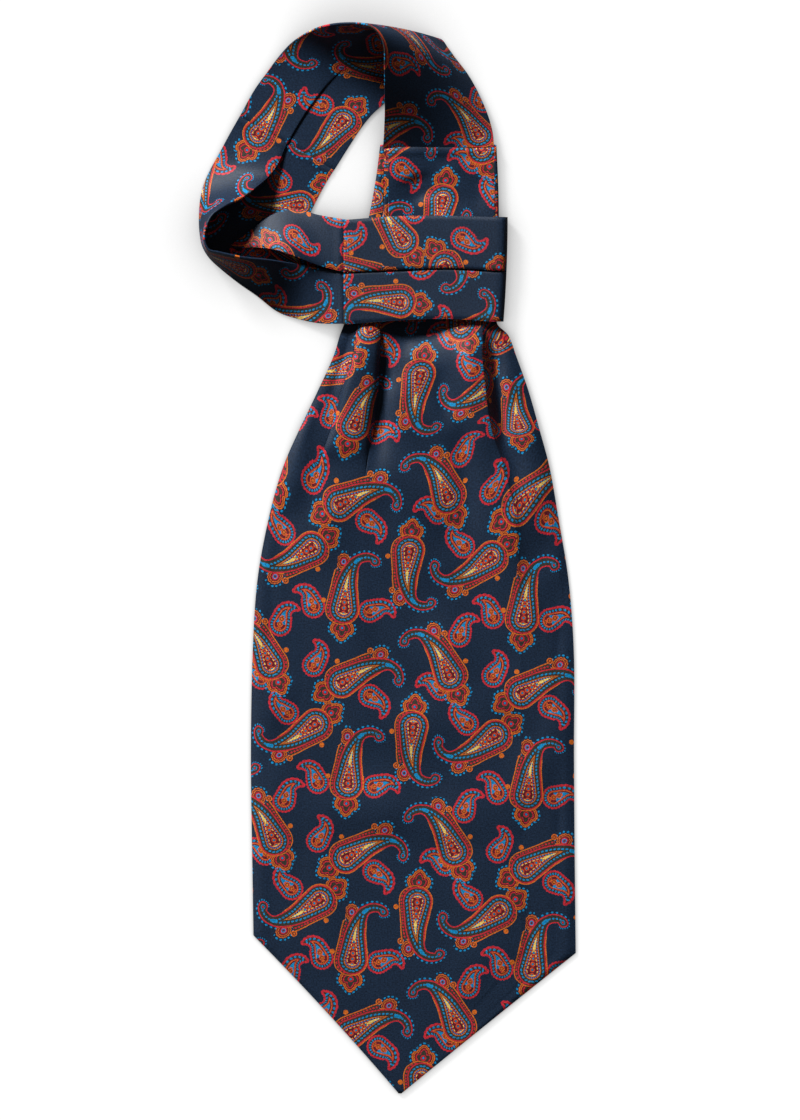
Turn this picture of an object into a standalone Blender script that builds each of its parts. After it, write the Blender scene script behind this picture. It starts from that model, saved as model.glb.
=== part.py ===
"""Silk cravat laid flat: two pleated blades on a pleated neckband that loops above them.

The loop's right side rolls over at the top, so its plain outer face shows on the right and its
pleated inner face on the left. The back blade's pleated top passes over the front blade's neck
and folds round behind it. Every cloth stretch is a wall lofted through a table of sections.
Metres, +Z up, the floor at z = 0, +Y from the blade's tip towards the neck loop.
"""

from collections import namedtuple
from math import cos, pi, radians, sin

import bmesh
import bpy
from mathutils import Vector

MM = 0.001
CLOTH = 1.2 * MM  # a folded silk wall: two plies and the interlining between them
GAP = 0.3 * MM  # left between layers that lie on each other, and at seams
LAYER = CLOTH + GAP
FLOOR_PLY = CLOTH / 2  # height of the middle of a ply that lies on the floor
SECOND_PLY = FLOOR_PLY + LAYER

WRAP_RIGHT_X = 55.2 * MM  # middle of the cloth where the wrap folds round behind
WRAP_TOP = 8.1 * MM  # height of the wrap's front, lower pleat
WRAP_PLEAT_RISE = 1.0 * MM
UNDER_INSET = 5.0  # how far the hidden blade lies inside the front blade's outline, in mm
FALL = 4.6  # width of the strip at each side that falls to the floor beside it, in mm

SILK = (0.013, 0.023, 0.048, 1.0)
BLADE_SILK = (0.016, 0.028, 0.058, 1.0)
ROUGHNESS = 0.42

# The front blade, from the neck seam to where the point starts. x of its left edge, of the two
# folds of its left pleat, of its right ridge and of its right edge; then the heights there.
Blade = namedtuple(
    "Blade", "y left fold_a fold_b ridge right z_left z_pleat z_middle z_ridge z_right"
)
FRONT_BLADE = [
    Blade(188.9, -1.6, 0.2, 10.0, 40.0, 49.2, 3.9, 4.6, 4.6, 4.6, 4.2),
    Blade(175.0, -4.4, -0.6, 9.0, 41.0, 50.3, 3.7, 4.6, 4.6, 4.6, 3.9),
    Blade(158.0, -8.3, -2.5, 6.0, 42.5, 51.4, 3.7, 4.9, 4.5, 4.9, 3.8),
    Blade(132.0, -14.0, -8.5, 0.5, 43.6, 51.5, 3.7, 5.6, 4.2, 5.8, 3.8),
    Blade(116.0, -17.8, -12.2, -2.6, 43.4, 50.4, 3.7, 5.7, 4.0, 5.8, 3.8),
    Blade(108.5, -19.8, -13.6, -3.2, 43.6, 50.9, 3.5, 5.9, 3.9, 6.0, 3.8),
    Blade(103.0, -21.8, -14.5, -3.4, 43.6, 56.1, 3.1, 6.6, 3.7, 7.0, 3.6),
    Blade(93.0, -24.9, -15.8, -3.8, 43.4, 59.9, 2.4, 7.4, 3.6, 8.4, 3.2),
    Blade(77.0, -32.2, -21.2, -4.7, 45.0, 65.5, 1.5, 7.2, 3.8, 8.2, 2.3),
    Blade(60.0, -40.2, -25.8, -6.8, 47.5, 70.2, 1.0, 6.0, 4.2, 7.2, 1.4),
    Blade(42.0, -48.0, -31.8, -9.5, 53.5, 75.0, 0.9, 4.4, 4.0, 5.6, 0.9),
    Blade(20.0, -54.3, -35.5, -11.0, 58.5, 78.9, 0.9, 3.0, 3.2, 3.6, 0.9),
    Blade(-10.0, -59.8, -37.5, -11.0, 60.5, 83.8, 0.9, 2.2, 2.4, 2.5, 0.9),
    Blade(-45.0, -62.0, -38.0, -11.0, 61.0, 86.3, 0.9, 2.1, 2.1, 2.1, 0.9),
    Blade(-90.0, -62.8, -38.0, -11.0, 61.0, 86.3, 0.9, 2.1, 2.1, 2.1, 0.9),
    Blade(-135.0, -62.2, -38.0, -11.0, 61.0, 86.6, 0.9, 2.1, 2.1, 2.1, 0.9),
]
CORNER_LEFT = (-61.6, -173.6)
CORNER_RIGHT = (87.1, -181.8)
TIP = (5.9, -247.2)
BLUNT = 0.985  # the share of each slant that is made; the tip's last 1.5% is cut square
BOW_LEFT = 1.3  # how far each slant of the point is hollowed, in mm
BOW_RIGHT = 0.3
POINT_ROWS = 9
UNDER_FROM = 3  # the row from which the hidden blade lies under the front blade

# A ruling across a stretch of cloth: its two ends, and how far its middle stands out from the
# straight line between them, towards the cloth's outer face, in mm.
Ruling = namedtuple("Ruling", "ax ay az bx by bz crown", defaults=(0.0,))

# The neckband's right half. a is the edge that stands up as the roll's open mouth and then
# becomes the loop's outer edge; b stays low, turns at the crest and becomes the inner edge.
RIGHT_BAND = [
    Ruling(-1.8, 189.7, 4.9, 49.3, 189.7, 4.4, 0.0),
    Ruling(-1.3, 198.0, 10.0, 48.8, 196.0, 3.6, 1.0),
    Ruling(-1.0, 208.0, 17.0, 47.0, 203.0, 3.2, 1.4),
    Ruling(-1.2, 218.0, 24.0, 44.0, 210.5, 3.0, 1.6),
    Ruling(-1.2, 228.0, 29.5, 40.3, 218.0, 2.9, 1.6),
    Ruling(-1.5, 236.0, 33.0, 36.3, 224.5, 2.9, 1.6),
    Ruling(-4.2, 242.5, 34.8, 32.0, 230.0, 2.9, 1.5),
    Ruling(-8.6, 246.2, 34.8, 28.2, 235.2, 2.8, 1.4),
    Ruling(-13.5, 247.4, 33.3, 24.8, 239.6, 2.2, 1.2),
    Ruling(-19.0, 247.5, 30.4, 21.0, 238.0, 1.2, 1.0),
    Ruling(-25.0, 247.2, 25.5, 16.8, 233.0, 0.7, 0.9),
    Ruling(-31.0, 245.6, 19.5, 11.2, 225.5, 0.6, 0.6),
    Ruling(-37.2, 242.3, 12.5, 4.6, 217.2, 0.6, 0.3),
    Ruling(-43.8, 238.0, 7.0, -1.4, 210.4, 0.6, 0.0),
    Ruling(-49.2, 232.4, 4.0, -7.2, 205.0, 0.6, 0.0),
    Ruling(-55.3, 224.6, 2.6, -12.4, 198.5, 0.6, 0.0),
    Ruling(-61.3, 216.3, 2.1, -17.8, 190.2, 0.6, 0.0),
    Ruling(-67.8, 204.6, 2.1, -24.2, 180.0, 0.6, 0.0),
]
CENTRE_PLEAT_FROM = 12  # the ruling from which the centre pleat shows as a step
PLEAT_RUN_IN = 6  # lofted lines over which that step comes up

# The left half's outer strip: a lies on the floor, b is the pleat's free edge, which stands up
# at the loop's corner and lies down again as the lower half of the level stretch.
OUTER_STRIP = [
    Ruling(-68.0, 204.3, 2.1, -46.2, 192.0, 2.1),
    Ruling(-72.5, 196.3, 1.7, -50.3, 182.5, 3.4),
    Ruling(-77.4, 187.1, 1.1, -55.0, 176.0, 6.0),
    Ruling(-81.5, 179.5, 0.6, -60.5, 171.0, 11.0),
    Ruling(-84.4, 172.5, 0.6, -66.5, 166.3, 16.0),
    Ruling(-85.9, 165.5, 0.6, -74.0, 162.6, 21.3),
    Ruling(-86.4, 158.5, 0.6, -80.2, 158.3, 24.0),
    Ruling(-86.2, 151.5, 0.6, -83.2, 152.4, 24.8),
    Ruling(-85.0, 144.8, 0.6, -84.0, 147.0, 24.9),
    Ruling(-81.8, 139.3, 0.6, -82.0, 142.4, 24.8),
    Ruling(-76.2, 134.0, 0.6, -77.5, 141.2, 23.9),
    Ruling(-68.2, 127.6, 0.6, -66.0, 138.9, 21.4),
    Ruling(-59.7, 121.1, 0.6, -55.0, 137.9, 17.0),
    Ruling(-50.7, 115.6, 0.9, -45.0, 136.5, 12.2),
    Ruling(-42.0, 112.4, 1.6, -36.5, 135.0, 9.0),
    Ruling(-31.0, 109.4, 3.8, -28.0, 133.4, 7.9),
    Ruling(-20.4, 108.5, 7.6, -20.4, 132.6, 7.8),
]

# The left half's inner strip and base: it lies on the floor, passes into the corner's hollow
# and turns there under the level stretch. a is its outer side, b the loop's inner edge.
INNER_STRIP = [
    Ruling(-54.0, 196.4, 0.6, -24.4, 179.7, 0.6),
    Ruling(-57.5, 187.0, 0.6, -28.5, 173.0, 0.6),
    Ruling(-62.5, 180.0, 0.6, -32.3, 166.0, 0.6),
    Ruling(-68.5, 173.5, 0.6, -36.0, 159.0, 0.6),
    Ruling(-75.0, 166.5, 0.6, -40.0, 153.5, 0.6),
    Ruling(-79.3, 157.5, 0.6, -43.0, 149.8, 0.6),
    Ruling(-79.6, 148.5, 0.6, -43.5, 147.0, 0.6),
    Ruling(-76.0, 141.5, 0.6, -41.5, 144.8, 0.6),
    Ruling(-67.5, 134.0, 0.6, -38.0, 143.2, 0.6),
    Ruling(-57.0, 127.5, 0.6, -34.0, 142.4, 0.6),
]

# The left half's level stretch, upper half: a is its lower edge over the outer strip, b its
# upper edge, which from the third ruling on is a slanting fold that turns down into the hollow.
UPPER_STRIP = [
    Ruling(-20.4, 132.5, 9.3, -20.4, 156.2, 9.2),
    Ruling(-31.0, 135.2, 10.4, -31.8, 158.2, 7.6),
    Ruling(-43.4, 139.8, 13.8, -43.6, 161.2, 6.0),
    Ruling(-52.0, 142.6, 12.5, -53.8, 157.9, 6.0),
    Ruling(-62.0, 143.6, 9.0, -65.0, 149.4, 6.2),
    Ruling(-70.5, 143.4, 6.6, -71.6, 144.6, 6.0),
]
FOLD_DROP = 3.6 * MM  # how far the slanting fold turns down
FOLD_DROP_AT_SEAM = 1.6 * MM
FOLD_RUN_IN = 5  # lofted lines over which the drop comes to its full depth
FOLD_BULGE = 0.6 * MM  # how far the fold stands out past the edge
FOLD_TUCK = 1.6 * MM  # how far it goes back under

# The back blade's wrap: y of its lower and upper edges along the front, and of its pleat.
Wrap = namedtuple("Wrap", "x lower crease upper")
WRAP_FRONT = [
    Wrap(-20.0, 108.2, 132.5, 156.3),
    Wrap(5.0, 110.0, 133.6, 158.1),
    Wrap(28.0, 110.8, 134.4, 158.3),
    Wrap(50.0, 109.6, 133.3, 157.7),
]
WRAP_TAPER = 1.6 * MM  # how much further left the fold's lower end lies
WRAP_TURN_STEPS = 6
WRAP_BACK_X = (40.0, 20.0, -2.0)


def catmull(p, q, r, s, t):
    """The smooth curve through q and r, whose neighbours are p and s."""
    return 0.5 * (
        2 * q + (r - p) * t + (2 * p - 5 * q + 4 * r - s) * t * t + (3 * q - p - 3 * r + s) * t**3
    )


def smoothed(rows, steps):
    """Rows of a table with steps - 1 further ones between each pair, on smooth curves."""
    kind = type(rows[0])
    padded = [rows[0], *rows, rows[-1]]
    found = []
    for i in range(1, len(padded) - 2):
        for k in range(steps):
            near = zip(*padded[i - 1 : i + 3])
            found.append(kind(*(catmull(*values, k / steps) for values in near)))
    found.append(rows[-1])
    return found


def crowned(row, before, after, share):
    """A point along a ruling, moved out of its straight line by the ruling's crown."""
    start = Vector((row.ax, row.ay, row.az))
    end = Vector((row.bx, row.by, row.bz))
    forward = Vector((after.ax + after.bx, after.ay + after.by, after.az + after.bz))
    forward -= Vector((before.ax + before.bx, before.ay + before.by, before.az + before.bz))
    outward = (end - start).cross(forward).normalized()
    return (start.lerp(end, share) + outward * row.crown * 4 * share * (1 - share)) * MM


def lofted(rows, columns):
    """A line of evenly spread points along each ruling."""
    sections = []
    for i, row in enumerate(rows):
        before = rows[max(i - 1, 0)]
        after = rows[min(i + 1, len(rows) - 1)]
        shares = (k / (columns - 1) for k in range(columns))
        sections.append([crowned(row, before, after, share) for share in shares])
    return sections


def sheet(name, sections, collection, colour):
    """An open grid whose lines are the sections, made a wall by Solidify."""
    columns = len(sections[0])
    shape = bmesh.new()
    made = bmesh.ops.create_grid(
        shape, x_segments=columns - 1, y_segments=len(sections) - 1, size=0.5
    )
    for vertex in made["verts"]:
        column = round((vertex.co.x + 0.5) * (columns - 1))
        row = round((vertex.co.y + 0.5) * (len(sections) - 1))
        vertex.co = sections[row][column]
    mesh = bpy.data.meshes.new(name)
    shape.to_mesh(mesh)
    shape.free()
    mesh.shade_smooth()
    piece = bpy.data.objects.new(name, mesh)
    collection.objects.link(piece)
    wall = piece.modifiers.new("wall", "SOLIDIFY")
    wall.thickness = CLOTH
    wall.offset = 0.0
    wall.use_even_offset = False
    piece.data.materials.append(silk(name, colour))
    return piece


def silk(name, colour):
    """The piece's own material: a dark satin."""
    material = bpy.data.materials.new(name + "_silk")
    material.use_nodes = True
    shader = material.node_tree.nodes["Principled BSDF"]
    shader.inputs["Base Color"].default_value = colour
    shader.inputs["Roughness"].default_value = ROUGHNESS
    shader.inputs["Metallic"].default_value = 0.0
    return material


def blade_section(row):
    """One line across the front blade: side falls, a raised pleat, a valley and a ridge."""
    left_fall = min(row.z_left + 1.3, row.z_pleat)
    right_fall = min(row.z_right + 1.3, row.z_ridge)
    right_width = min(FALL, (row.right - row.ridge) * 0.38)
    points = [
        (row.left, row.z_left),
        (row.left + FALL, left_fall),
        (row.fold_a - 0.6, max((row.z_left + row.z_pleat) / 2, left_fall)),
        (row.fold_a + 1.2, row.z_pleat),
        ((row.fold_a + row.fold_b) / 2, row.z_pleat + 0.2),
        (row.fold_b - 0.8, row.z_pleat),
        (row.fold_b + 1.2, row.z_middle),
        (row.fold_b * 0.72 + row.ridge * 0.28, row.z_middle),
        (row.fold_b * 0.45 + row.ridge * 0.55, row.z_middle),
        (row.fold_b * 0.18 + row.ridge * 0.82, (row.z_middle + row.z_ridge) / 2),
        (row.ridge, row.z_ridge),
        (
            row.ridge + (row.right - row.ridge) * 0.3,
            max((row.z_ridge + row.z_right) / 2, right_fall),
        ),
        (row.right - right_width, right_fall),
        (row.right, row.z_right),
    ]
    return [Vector((x, row.y, z)) * MM for x, z in points]


def point_line(line, share, tip, hollow_left, hollow_right):
    """The line between the corners, drawn in towards the tip by a share of the way."""
    width = line[-1].x - line[0].x
    hollow = 4 * share * (1 - share) * MM
    found = []
    for point in line:
        span = (point.x - line[0].x) / width
        moved = point.lerp(Vector((tip[0] * MM, tip[1] * MM, point.z)), share)
        moved.x += hollow * (hollow_left * (1 - span) - hollow_right * span)
        found.append(moved)
    return found


def point_sections(start):
    """From the blade's last full line down to its tip, along the two corners and slants."""
    width = start[-1].x - start[0].x
    corners = []
    for point in start:
        span = (point.x - start[0].x) / width
        x = CORNER_LEFT[0] + (CORNER_RIGHT[0] - CORNER_LEFT[0]) * span
        y = CORNER_LEFT[1] + (CORNER_RIGHT[1] - CORNER_LEFT[1]) * span
        corners.append(Vector((x * MM, y * MM, point.z)))
    sections = [[p.lerp(q, 0.5) for p, q in zip(start, corners)], corners]
    for k in range(1, POINT_ROWS + 1):
        share = BLUNT * k / POINT_ROWS
        sections.append(point_line(corners, share, TIP, BOW_LEFT, BOW_RIGHT))
    return sections


def front_blade(collection):
    rows = smoothed(FRONT_BLADE, 2)
    sections = [blade_section(row) for row in rows]
    sections += point_sections(sections[-1])
    return sheet("front_blade", sections, collection, BLADE_SILK)


def flat_line(x0, y0, x1, y1, columns=5):
    """A straight line of points in the middle of a ply that lies on the floor."""
    start = Vector((x0 * MM, y0 * MM, FLOOR_PLY))
    end = Vector((x1 * MM, y1 * MM, FLOOR_PLY))
    return [start.lerp(end, k / (columns - 1)) for k in range(columns)]


def under_blade(collection):
    """The back blade's hidden stretch, flat on the floor just inside the front blade."""
    sections = []
    for row in FRONT_BLADE[UNDER_FROM:]:
        sections.append(flat_line(row.left + UNDER_INSET, row.y, row.right - UNDER_INSET, row.y))
    corners = flat_line(
        CORNER_LEFT[0] + UNDER_INSET,
        CORNER_LEFT[1],
        CORNER_RIGHT[0] - UNDER_INSET,
        CORNER_RIGHT[1],
    )
    sections.append(corners)
    tip = (TIP[0], TIP[1] + 1.6 * UNDER_INSET)
    for k in (1, 2, 3):
        sections.append(point_line(corners, BLUNT * k / 3, tip, 0.0, 0.0))
    return sheet("back_blade_under", sections, collection, BLADE_SILK)


def wrap_line(row, x, taper, height, step):
    """A line across the wrap from its lower to its upper edge, with the pleat's step."""
    ys = [
        row.lower,
        row.lower * 0.67 + row.crease * 0.33,
        row.lower * 0.33 + row.crease * 0.67,
        row.crease - 0.5,
        row.crease + 0.5,
        row.crease * 0.67 + row.upper * 0.33,
        row.crease * 0.33 + row.upper * 0.67,
        row.upper,
    ]
    line = []
    for y in ys:
        span = (y - row.lower) / (row.upper - row.lower)
        lift = step if y > row.crease else 0.0
        line.append(Vector((x - taper * (1 - span) ** 2, y * MM, height + lift)))
    return line


def back_blade_wrap(collection):
    """Front, fold round the right side, and hidden back, as one strip."""
    radius = (WRAP_TOP - SECOND_PLY) / 2
    middle = (WRAP_TOP + SECOND_PLY) / 2
    centre = WRAP_RIGHT_X - radius
    last = WRAP_FRONT[-1]
    sections = []
    for row in smoothed(WRAP_FRONT, 2):
        taper = WRAP_TAPER * max(row.x, 0.0) / last.x
        sections.append(wrap_line(row, row.x * MM, taper, WRAP_TOP, WRAP_PLEAT_RISE))
    for k in range(WRAP_TURN_STEPS + 1):
        angle = pi / 2 - pi * k / WRAP_TURN_STEPS
        rise = WRAP_PLEAT_RISE * (1 + sin(angle)) / 2
        height = middle + radius * sin(angle)
        sections.append(wrap_line(last, centre + radius * cos(angle), WRAP_TAPER, height, rise))
    for x in WRAP_BACK_X:
        sections.append(wrap_line(last, x * MM, 0.0, SECOND_PLY, 0.0))
    return sheet("back_blade_wrap", sections, collection, SILK)


def step_at_middle(sections, first):
    """Lets the inner half of each line down to the floor, so that the outer half laps it."""
    middle = len(sections[0]) // 2
    for i, line in enumerate(sections):
        share = min(max(i - first, 0) / PLEAT_RUN_IN, 1.0)
        line[middle].z += share * max(line[0].z - line[middle].z, 0.0)
        for point in line[middle + 1 :]:
            point.z -= share * max(point.z - FLOOR_PLY, 0.0)


def neckband_right(collection):
    """The right half: plain face up, over the roll, then pleated face up to the centre seam."""
    sections = lofted(smoothed(RIGHT_BAND, 2), 9)
    step_at_middle(sections, CENTRE_PLEAT_FROM * 2)
    return sheet("neckband_right", sections, collection, SILK)


def neckband_left_outer(collection):
    sections = lofted(smoothed(OUTER_STRIP, 2), 6)
    return sheet("neckband_left_outer", sections, collection, SILK)


def neckband_left_inner(collection):
    sections = lofted(smoothed(INNER_STRIP, 2), 6)
    return sheet("neckband_left_inner", sections, collection, SILK)


def turned_down(line, depth):
    """A line's far edge carried on over a fold: out, down by the depth, and back under."""
    inward = (line[0] - line[-1]).normalized()
    edge = line[-1]
    fold = []
    for turned in (radians(55), radians(110)):
        out = sin(turned) * FOLD_BULGE - (1 - cos(turned)) * FOLD_TUCK
        fold.append(edge - inward * out - Vector((0, 0, sin(turned / 2) * depth)))
    return line + fold


def neckband_left_upper(collection):
    """The level stretch's upper half, with its slanting fold turned down and under."""
    sections = []
    for i, line in enumerate(lofted(smoothed(UPPER_STRIP, 3), 6)):
        share = min(i / FOLD_RUN_IN, 1.0)
        depth = FOLD_DROP_AT_SEAM + (FOLD_DROP - FOLD_DROP_AT_SEAM) * share
        sections.append(turned_down(line, depth))
    return sheet("neckband_left_upper", sections, collection, SILK)


def stand_on_floor(pieces):
    """Moves the meshes so that the whole cravat is centred over the origin, on the floor."""
    graph = bpy.context.evaluated_depsgraph_get()
    points = []
    for piece in pieces:
        mesh = piece.evaluated_get(graph).to_mesh()
        points += [vertex.co.copy() for vertex in mesh.vertices]
        piece.evaluated_get(graph).to_mesh_clear()
    low = [min(point[axis] for point in points) for axis in range(3)]
    high = [max(point[axis] for point in points) for axis in range(3)]
    shift = Vector((-(low[0] + high[0]) / 2, -(low[1] + high[1]) / 2, -low[2]))
    for piece in pieces:
        for vertex in piece.data.vertices:
            vertex.co += shift


def main():
    for old in list(bpy.data.objects):
        bpy.data.objects.remove(old)
    collection = bpy.data.collections.new("silk_cravat")
    bpy.context.scene.collection.children.link(collection)
    pieces = [
        front_blade(collection),
        under_blade(collection),
        back_blade_wrap(collection),
        neckband_right(collection),
        neckband_left_outer(collection),
        neckband_left_inner(collection),
        neckband_left_upper(collection),
    ]
    bpy.context.view_layer.update()
    stand_on_floor(pieces)


main()
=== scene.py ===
"""Silk cravat laid flat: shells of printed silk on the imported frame, their print, weave and light."""

from collections import namedtuple
from math import atan, cos, hypot, pi, radians, sin, sqrt, tau

import bmesh
import bpy
import numpy as np
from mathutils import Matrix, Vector, noise


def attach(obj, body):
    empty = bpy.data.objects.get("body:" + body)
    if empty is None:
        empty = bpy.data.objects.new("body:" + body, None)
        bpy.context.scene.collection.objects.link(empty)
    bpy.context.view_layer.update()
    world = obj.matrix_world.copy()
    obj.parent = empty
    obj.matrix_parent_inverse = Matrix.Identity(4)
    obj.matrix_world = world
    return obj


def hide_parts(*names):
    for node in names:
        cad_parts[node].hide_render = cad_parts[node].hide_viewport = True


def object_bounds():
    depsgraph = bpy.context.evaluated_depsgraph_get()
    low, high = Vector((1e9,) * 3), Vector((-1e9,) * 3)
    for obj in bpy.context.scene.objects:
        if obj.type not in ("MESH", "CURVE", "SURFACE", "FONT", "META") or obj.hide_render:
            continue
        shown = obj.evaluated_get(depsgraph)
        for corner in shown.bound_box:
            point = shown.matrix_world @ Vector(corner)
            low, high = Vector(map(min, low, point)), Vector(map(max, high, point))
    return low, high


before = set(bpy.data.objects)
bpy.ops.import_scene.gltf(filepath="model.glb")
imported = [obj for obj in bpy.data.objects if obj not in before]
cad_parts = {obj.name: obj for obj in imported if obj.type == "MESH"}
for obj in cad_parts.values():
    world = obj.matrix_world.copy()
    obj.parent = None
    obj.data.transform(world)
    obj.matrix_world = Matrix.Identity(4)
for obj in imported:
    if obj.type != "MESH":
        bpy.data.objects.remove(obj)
CAD_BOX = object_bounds()

bl_info = {
    "name": "Silk Cravat",
    "version": (1, 0, 0),
    "blender": (4, 5, 0),
    "location": "3D View > Sidebar > Cravat",
    "description": "Builds a printed silk cravat that is laid flat, piece by piece",
    "category": "Object",
}

MM = 0.001
PLY = 0.6  # height of the middle of a ply that lies on the floor, in mm
LAYER = 1.5  # from the middle of a ply to the middle of the next one, in mm
UV_NAME = "cloth"

# ---------------------------------------------------------------- seams, edges and creases, in mm

TUCKED = 1.6  # how far a stretch runs on under its neighbour at a seam
SEAM_DROP = 1.0  # how much lower it lies there
LOWEST_TUCKED = 0.5
ROLL_WIDE = 0.9  # width of the strip that turns down along a folded edge
PUFF_REACH = 6.0  # how far from a seam the cloth swells
PUFF_CREST = 1.7
PUFF_WIDE = 1.1
PUFF_SINK = 0.09  # share of it that is taken off, so that the seam itself keeps its height
CREASE_START = -0.05  # shares of a crease's line over which it comes in and dies away
CREASE_IN = 0.3
CREASE_OUT = 0.4
STEP = 0.35  # width of the wall at a pleat's fold

# ---------------------------------------------------------------- the cravat's own sizes, in mm

# The front blade, from the neck seam to where its point starts. x of its left edge, of the two
# folds of its left pleat, of its right ridge and of its right edge; the heights there; and x of
# the line that lies at the middle of the cut cloth.
Blade = namedtuple(
    "Blade", "y left fold_a fold_b ridge right z_left z_pleat z_middle z_ridge z_right middle"
)
FRONT_BLADE = [
    Blade(189.4, -3.2, -1.5, 0.5, 49.0, 50.2, 3.9, 4.6, 4.6, 4.6, 3.9, 33.0),
    Blade(175.0, -5.2, -1.8, 0.3, 49.1, 51.0, 3.7, 4.6, 4.6, 4.6, 3.9, 32.5),
    Blade(158.0, -8.3, -2.5, 0.5, 49.2, 51.4, 3.7, 4.9, 4.5, 4.9, 3.8, 31.0),
    Blade(132.0, -14.0, -8.5, 0.5, 46.6, 51.5, 3.7, 5.6, 4.2, 5.8, 3.8, 27.0),
    Blade(116.0, -17.8, -12.2, -2.6, 44.0, 50.4, 3.7, 5.7, 4.0, 5.8, 3.8, 24.0),
    Blade(108.5, -19.8, -13.6, -3.2, 43.6, 50.9, 3.5, 5.9, 3.9, 6.0, 3.8, 22.5),
    Blade(103.0, -21.8, -14.5, -3.4, 43.6, 56.1, 3.1, 6.6, 3.7, 7.0, 3.6, 21.5),
    Blade(93.0, -24.9, -15.8, -3.8, 43.4, 59.9, 2.4, 7.4, 3.6, 8.4, 3.2, 20.5),
    Blade(77.0, -32.2, -21.2, -4.7, 45.0, 65.5, 1.5, 7.2, 3.8, 8.2, 2.3, 18.5),
    Blade(60.0, -40.2, -25.8, -6.8, 47.5, 70.2, 1.0, 6.0, 4.2, 7.2, 1.4, 16.5),
    Blade(42.0, -48.0, -31.8, -9.5, 53.5, 75.0, 0.9, 4.4, 4.0, 5.6, 0.9, 14.5),
    Blade(20.0, -54.3, -35.5, -11.0, 58.5, 78.9, 0.9, 3.0, 3.2, 3.6, 0.9, 13.0),
    Blade(-10.0, -59.8, -37.5, -11.0, 60.5, 83.8, 0.9, 2.2, 2.4, 2.5, 0.9, 12.3),
    Blade(-45.0, -62.0, -38.0, -11.0, 61.0, 86.3, 0.9, 2.1, 2.1, 2.1, 0.9, 12.2),
    Blade(-90.0, -62.8, -38.0, -11.0, 61.0, 86.3, 0.9, 2.1, 2.1, 2.1, 0.9, 12.2),
    Blade(-135.0, -62.2, -38.0, -11.0, 61.0, 86.6, 0.9, 2.1, 2.1, 2.1, 0.9, 12.2),
]
PANEL_LINES = (18, 18, 46, 34)  # lines across the flank, the pleat, the middle and the right side
BLADE_STEPS = 12
MIDDLE_IN_PRINT = 12.2  # where the middle of the cut lies in the print
PLEATS_FROM = 45.0  # y above which the pleats hide some of the print
PLEATS_FULL = 105.0
PLEATS_HIDE = 13.0  # how much each side's pleats hide there
FALL = 4.6  # width of the strip at each side that falls to the floor
EDGE_RISE = 0.7  # how much higher its inner side lies
WIDEST_FALL_LEFT = 0.5  # the largest share of each side panel that the falling strip takes
WIDEST_FALL_RIGHT = 0.38
SIDE_CURVE = 4  # how soon the right side levels off beside its ridge
RIDGE_FROM = 0.35  # share of the middle panel from which it rises to the ridge
RIDGE_CURVE = 1.4
PLEAT_ARCH = 1.1  # how far the left pleat stands up along its middle
PLEAT_SINK = 0.3
PLEAT_EDGE = 0.7  # how far it drops at its folds, and over what width
PLEAT_EDGE_WIDE = 1.1
LOWEST_SIDE = 0.9

CORNER_LEFT = (-61.6, -173.6)
CORNER_RIGHT = (87.1, -181.8)
TIP = (5.9, -247.2, 1.4)  # with its height
BLUNT = 0.99  # the share of each slant that is made; the tip's last 1% is cut square
LEVEL_BY = 0.7  # the share of each slant by which the cloth lies level
BOW_LEFT = 1.3  # how far each slant of the point is hollowed
BOW_RIGHT = 0.3
CORNER_ROWS = 16
POINT_ROWS = 44
UNDER_INSET = 5.0  # how far the hidden blade lies inside the front blade's outline
UNDER_FROM = 3  # the row from which it lies there
UNDER_TIP = 1.6  # how many times that inset its tip lies further up
UNDER_STEPS = 4
UNDER_LINES = 30
UNDER_POINT_ROWS = 12
UNDER_PRINT = (31.0, 17.0)  # how far the print is moved on it

# Soft troughs and ridges pressed into the front blade: a line from a to b, how wide and how deep.
Crease = namedtuple("Crease", "ax ay bx by wide deep")
BLADE_CREASES = [
    Crease(0.0, 106.5, 34.0, 106.5, 9.0, -2.6),
    Crease(1.0, 102.0, -5.0, 40.0, 4.4, -2.2),
    Crease(-2.0, 78.0, -7.0, 28.0, 7.0, -1.0),
    Crease(13.0, 100.0, 12.0, 72.0, 5.0, 1.4),
    Crease(24.0, 90.0, 28.0, 58.0, 3.8, -1.2),
    Crease(36.5, 103.0, 40.0, 66.0, 4.0, 1.6),
    Crease(33.0, 66.0, 38.5, 6.0, 6.0, -2.0),
    Crease(48.5, 106.0, 54.0, 44.0, 3.4, -2.6),
    Crease(62.0, 74.0, 71.0, 2.0, 8.0, 2.9),
    Crease(54.0, 26.0, 60.0, -16.0, 5.0, 0.5),
    Crease(76.0, -6.0, 80.0, -44.0, 7.0, -0.8),
    Crease(-17.0, 106.0, -29.0, 50.0, 3.4, -1.7),
    Crease(-35.0, 76.0, -46.0, 14.0, 5.0, 1.9),
    Crease(-46.0, 26.0, -52.0, -20.0, 5.0, -0.7),
    Crease(-22.0, 44.0, -31.0, 4.0, 6.0, 0.7),
    Crease(12.0, 178.0, 17.0, 163.0, 6.5, -1.9),
    Crease(28.0, 184.0, 33.0, 164.0, 6.0, 0.6),
    Crease(42.0, 178.0, 43.0, 160.0, 3.5, -0.5),
]
LOWEST_MIDDLE = 1.55  # the front blade's least height where it lies on the hidden blade
WAVE_DEEP = 1.8  # slow unevenness of the blade's lower part
WAVE_WIDE = 26.0
WAVE_FADE = 12.0  # how far from the side edges it reaches its full depth
WAVE_SEED = 0.3

# A ruling across a stretch of cloth: its two ends, and how far its middle stands out from the
# straight line between them, towards the cloth's outer face.
Ruling = namedtuple("Ruling", "ax ay az bx by bz crown", defaults=(0.0,))

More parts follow.
